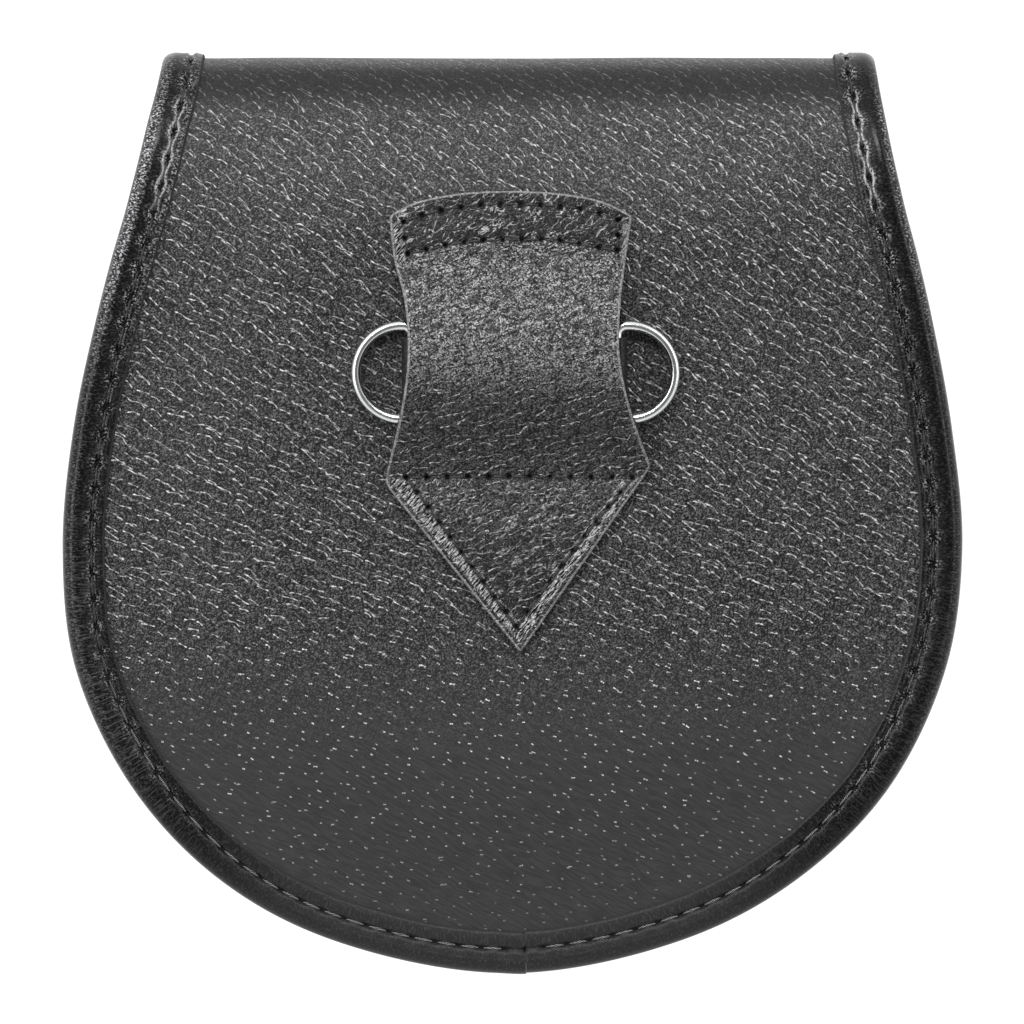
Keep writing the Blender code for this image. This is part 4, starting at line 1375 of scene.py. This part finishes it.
def wireRing(side, out):  # bent from wire: a straight bar, two tight corners and a round bow
    radius, corner = rings["radius"] - rings["wire"] / 2, rings["corner"]
    reach = abs(rings["arcs"][side] - rings["bars"][side])
    few, many = rings["bends"]
    path = np.vstack((
        arc((corner, corner - radius), corner, 180, 270, few), arc((reach, 0), radius, -90, 90, many),
        arc((corner, radius - corner), corner, 90, 180, few)))
    path = evenSteps(np.vstack((path, path[:1])), rings["stations"] + 1)[:-1] * (out, 1)
    path = path[::out]
    ways = np.roll(path, -1, axis=0) - np.roll(path, 1, axis=0)
    ways /= np.linalg.norm(ways, axis=1)[:, None]
    outward = np.column_stack((ways[:, 1], -ways[:, 0]))
    turns = 2 * math.pi * np.arange(rings["facets"]) / rings["facets"]
    wire = rings["shown"] / 2
    flat = path[:, None] + wire * np.cos(turns)[None, :, None] * outward[:, None]
    up = np.broadcast_to(wire * np.sin(turns), flat.shape[:2])
    drop = barLevel - rings["wire"] / 2 - sheet["gap"] - sheet["backLevel"]
    tilt = out * math.asin(drop / (reach + radius))
    x = flat[..., 0] * math.cos(tilt) + up * math.sin(tilt)
    z = up * math.cos(tilt) - flat[..., 0] * math.sin(tilt)
    bpy.ops.object.select_all(action="DESELECT")
    bpy.ops.mesh.primitive_torus_add(
        major_segments=rings["stations"], minor_segments=rings["facets"], major_radius=1, minor_radius=0.1)
    ring = bpy.context.object
    ring.name = ring.data.name = side + "RingWire"
    setPlaces(ring.data, np.stack(
        (x + rings["bars"][side], flat[..., 1] + rings["height"], z + barLevel), axis=-1))
    giveMaterials(ring, chrome)
    finishPiece(ring, side + "_ring", "d_ring_" + side, sharp=180)


def plainMarks(points, **others):  # for a strip that no binding seam puckers
    marks = {**soft["plain"], **others}
    return {name: np.broadcast_to(value, points.shape[:2]) for name, value in marks.items()}


def ringKeeper():
    radius = rings["wire"] / 2 + sheet["gap"] + keeper["leather"]
    lapLevel = sheet["backLevel"] + 2 * (sheet["gap"] + keeper["leather"])
    path = []
    for side, out in ringSides:
        bar =rings["bars"][side]
        loop = arc((0, barLevel), radius, *keeper["loop"]) * (out, 1) + (bar, 0)
        lap = [(bar - out * keeper[name], lapLevel) for name in ("lap", "slope")]
        path.append(np.vstack((lap, loop))[::out])
    path = np.vstack(path)
    line = evenSteps(path, round(runAlong(path)[-1] / keeper["step"]))
    ups = np.linspace(-0.5, 0.5, keeper["rows"] + 1)[:, None] * keeper["width"] + rings["height"]
    points = paired(line[:, 0], ups, line[:, 1])
    strip = paired(np.arange(len(line)) * keeper["step"], ups)
    piece = gridPiece("ringKeeperStrip", points, {"strip": strip}, plainMarks(points))
    giveWall(piece, keeper["leather"], bindingLeather)
    width, sharp = keeper["bevel"]
    applyModifier(piece, "BEVEL", width=width * mm, segments=2, limit_method="ANGLE",
                  angle_limit=math.radians(sharp), material=2)
    finishPiece(piece, "pouch", "ring_keeper")
    rows = []
    for side, out in ringSides:
        x =rings["bars"][side] - out * (keeper["lap"] - keeper["stitchIn"])
        y = np.linspace(-0.5, 0.5, keeper["stitches"] + 1) * (keeper["width"] - 2 * keeper["stitchMargin"])
        holes = np.column_stack((y * 0 + x, y + rings["height"], y * 0 + lapLevel - keeper["stitchSunk"]))
        rows.append((holes, [(0, 0, 1)] * len(holes)))
    stitches("ringKeeperStitches", "smooth_leather", rows, keeper["thread"])


for side, out in ringSides[::-1]:
    wireRing(side, out)
ringKeeper()


# ---- front of the pouch, its gusset and the stud ----

pouch = {
    "mouth": 57.0,  # how high the front panel reaches
    "frontInset": 9.4,
    "frontGrid": (100, 82),
    "frontLeather": 1.6,
    "belly": 4.2,  # how far the front bulges, from where, and over what width it rises
    "bellyStart": 8.0,
    "bellyRun": 18.0,
    "wall": 9.7,  # how far in the gusset's wall stands, and its bow
    "foot": 6.0,
    "bulge": 1.9,
    "bulgeRows": (0.06, 0.12, 0.2, 0.28, 0.36, 0.44, 0.52, 0.6, 0.68, 0.76, 0.84, 0.92),
    "turn": ((0.25, 0.95), (0.9, 0.35), (1.8, 0.06)),  # where the wall turns in to the front lap
    "lap": 14.6,
    "gussetLeather": 1.2,
    "gussetStations": 380,
    "fold": (15.0, 0.55),  # size and depth of the soft folds of the wall
    "stiff": 0.5,  # how far in from the wall no fold reaches
    "foldStretch": 0.6,
    "foldPower": 1.5,
    "foldEnds": 12.0,
    "gathered": 0.5,
    "frontSeam": 12.4,
    "frontPitch": 4.4,
    "frontSeamEnd": 3.0,
    "frontSeamSteps": 1200,
    "stitchSunk": 0.06,
}
frontLevel = 2 * (sheet["gap"] + binding["leather"]) + sheet["leather"] + sheet["gap"]


def frontPoint(flat):
    x, y = flat[..., 0], flat[..., 1]
    down = np.maximum(foldCentre - y, 0) / (foldCentre - sheet["flapTip"])
    power = sheet["flapRoundness"]
    under = np.abs((x - sheet["flapCentre"]) / sheet["flapHalfWidth"]) ** power + down ** power <= 1
    beyond = distances(outlineTree, np.stack((x, flapStart + foldCentre - y), axis=-1)) * (1 - under)
    belly = ease((beyond - pouch["bellyStart"]) / pouch["bellyRun"])
    belly = belly * ease((distances(outlineTree, flat) - pouch["lap"]) / pouch["bellyRun"])
    return np.stack((x, y, frontLevel - pouch["belly"] * belly), axis=-1)


def frontPanel():
    across, up = (np.linspace(0, 1, count + 1) for count in pouch["frontGrid"])
    flat = roundEnd(pouch["frontInset"], pouch["mouth"], backPiece["corner"], across, up)[::-1]
    piece = gridPiece("grainedFrontPanel", frontPoint(flat), {"flat": flat * (-1, 1)})
    giveWall(piece, pouch["frontLeather"], calfLeather)
    finishPiece(piece, "pouch", "front_panel")


def roundTheMouth(below, count):  # parts of the outline from one side of the mouth to the other
    height = pouch["mouth"] - below
    return np.linspace(partAt(height, "left") - 1, partAt(height, "right"), count + 1)


def pouchGusset():
    flange = sheet["backLevel"] - sheet["crown"] - sheet["leather"] - sheet["gap"] - pouch["gussetLeather"]
    lap = frontLevel + pouch["frontLeather"] + sheet["gap"]
    wall = pouch["wall"]
    section = [(binding["slot"][-1] + sheet["gap"], flange), (pouch["foot"], flange), (wall, flange)]
    section += [
        (wall - pouch["bulge"] * math.sin(math.pi * part), mix(flange, lap, part))
        for part in pouch["bulgeRows"]]
    section += [(wall + inward, lap + up) for inward, up in pouch["turn"]] + [(pouch["lap"], lap)]
    section = np.array(section)
    inset, level = section.T
    parts = roundTheMouth(0, pouch["gussetStations"])
    places, inward = onOutline(parts % 1.0)
    run = (parts - parts[0])[:, None] * outlineLength
    free = np.sin(math.pi * np.clip((flange - level) / (flange - lap), 0, 1)) ** pouch["foldPower"]
    free[inset > wall + pouch["stiff"]] = 0
    folded = wave(paired(run, level * pouch["foldStretch"]), *pouch["fold"]) * free
    folded = folded * ramp(np.minimum(run, run[-1] - run), 0, pouch["foldEnds"])
    flat = places[:, None] + (inset + folded)[..., None] * inward[:, None]
    points = paired(flat[..., 0], flat[..., 1], level)
    piece = gridPiece(
        "pouchGusset", points, {"strip": paired(run, runAlong(section))},
        plainMarks(points, gather=pouch["gathered"] * free))
    giveWall(piece, pouch["gussetLeather"], bindingLeather)
    finishPiece(piece, "pouch", "gusset")


def frontStitches():
    parts = roundTheMouth(pouch["frontSeamEnd"], pouch["frontSeamSteps"])
    places, inward = onOutline(parts % 1.0)
    line = places + pouch["frontSeam"] * inward
    holes = evenSteps(line, round(outlineLength * (parts[-1] - parts[0]) / pouch["frontPitch"]))
    points = frontPoint(holes) - (0, 0, pouch["stitchSunk"])
    stitches("frontSeamStitches", "grained_leather", [(points, [(0, 0, -1)] * len(points))])


frontPanel()
pouchGusset()
frontStitches()
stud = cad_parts["flap_stud"]
stud.data.materials.clear()
stud.data.materials.append(satinNickel)
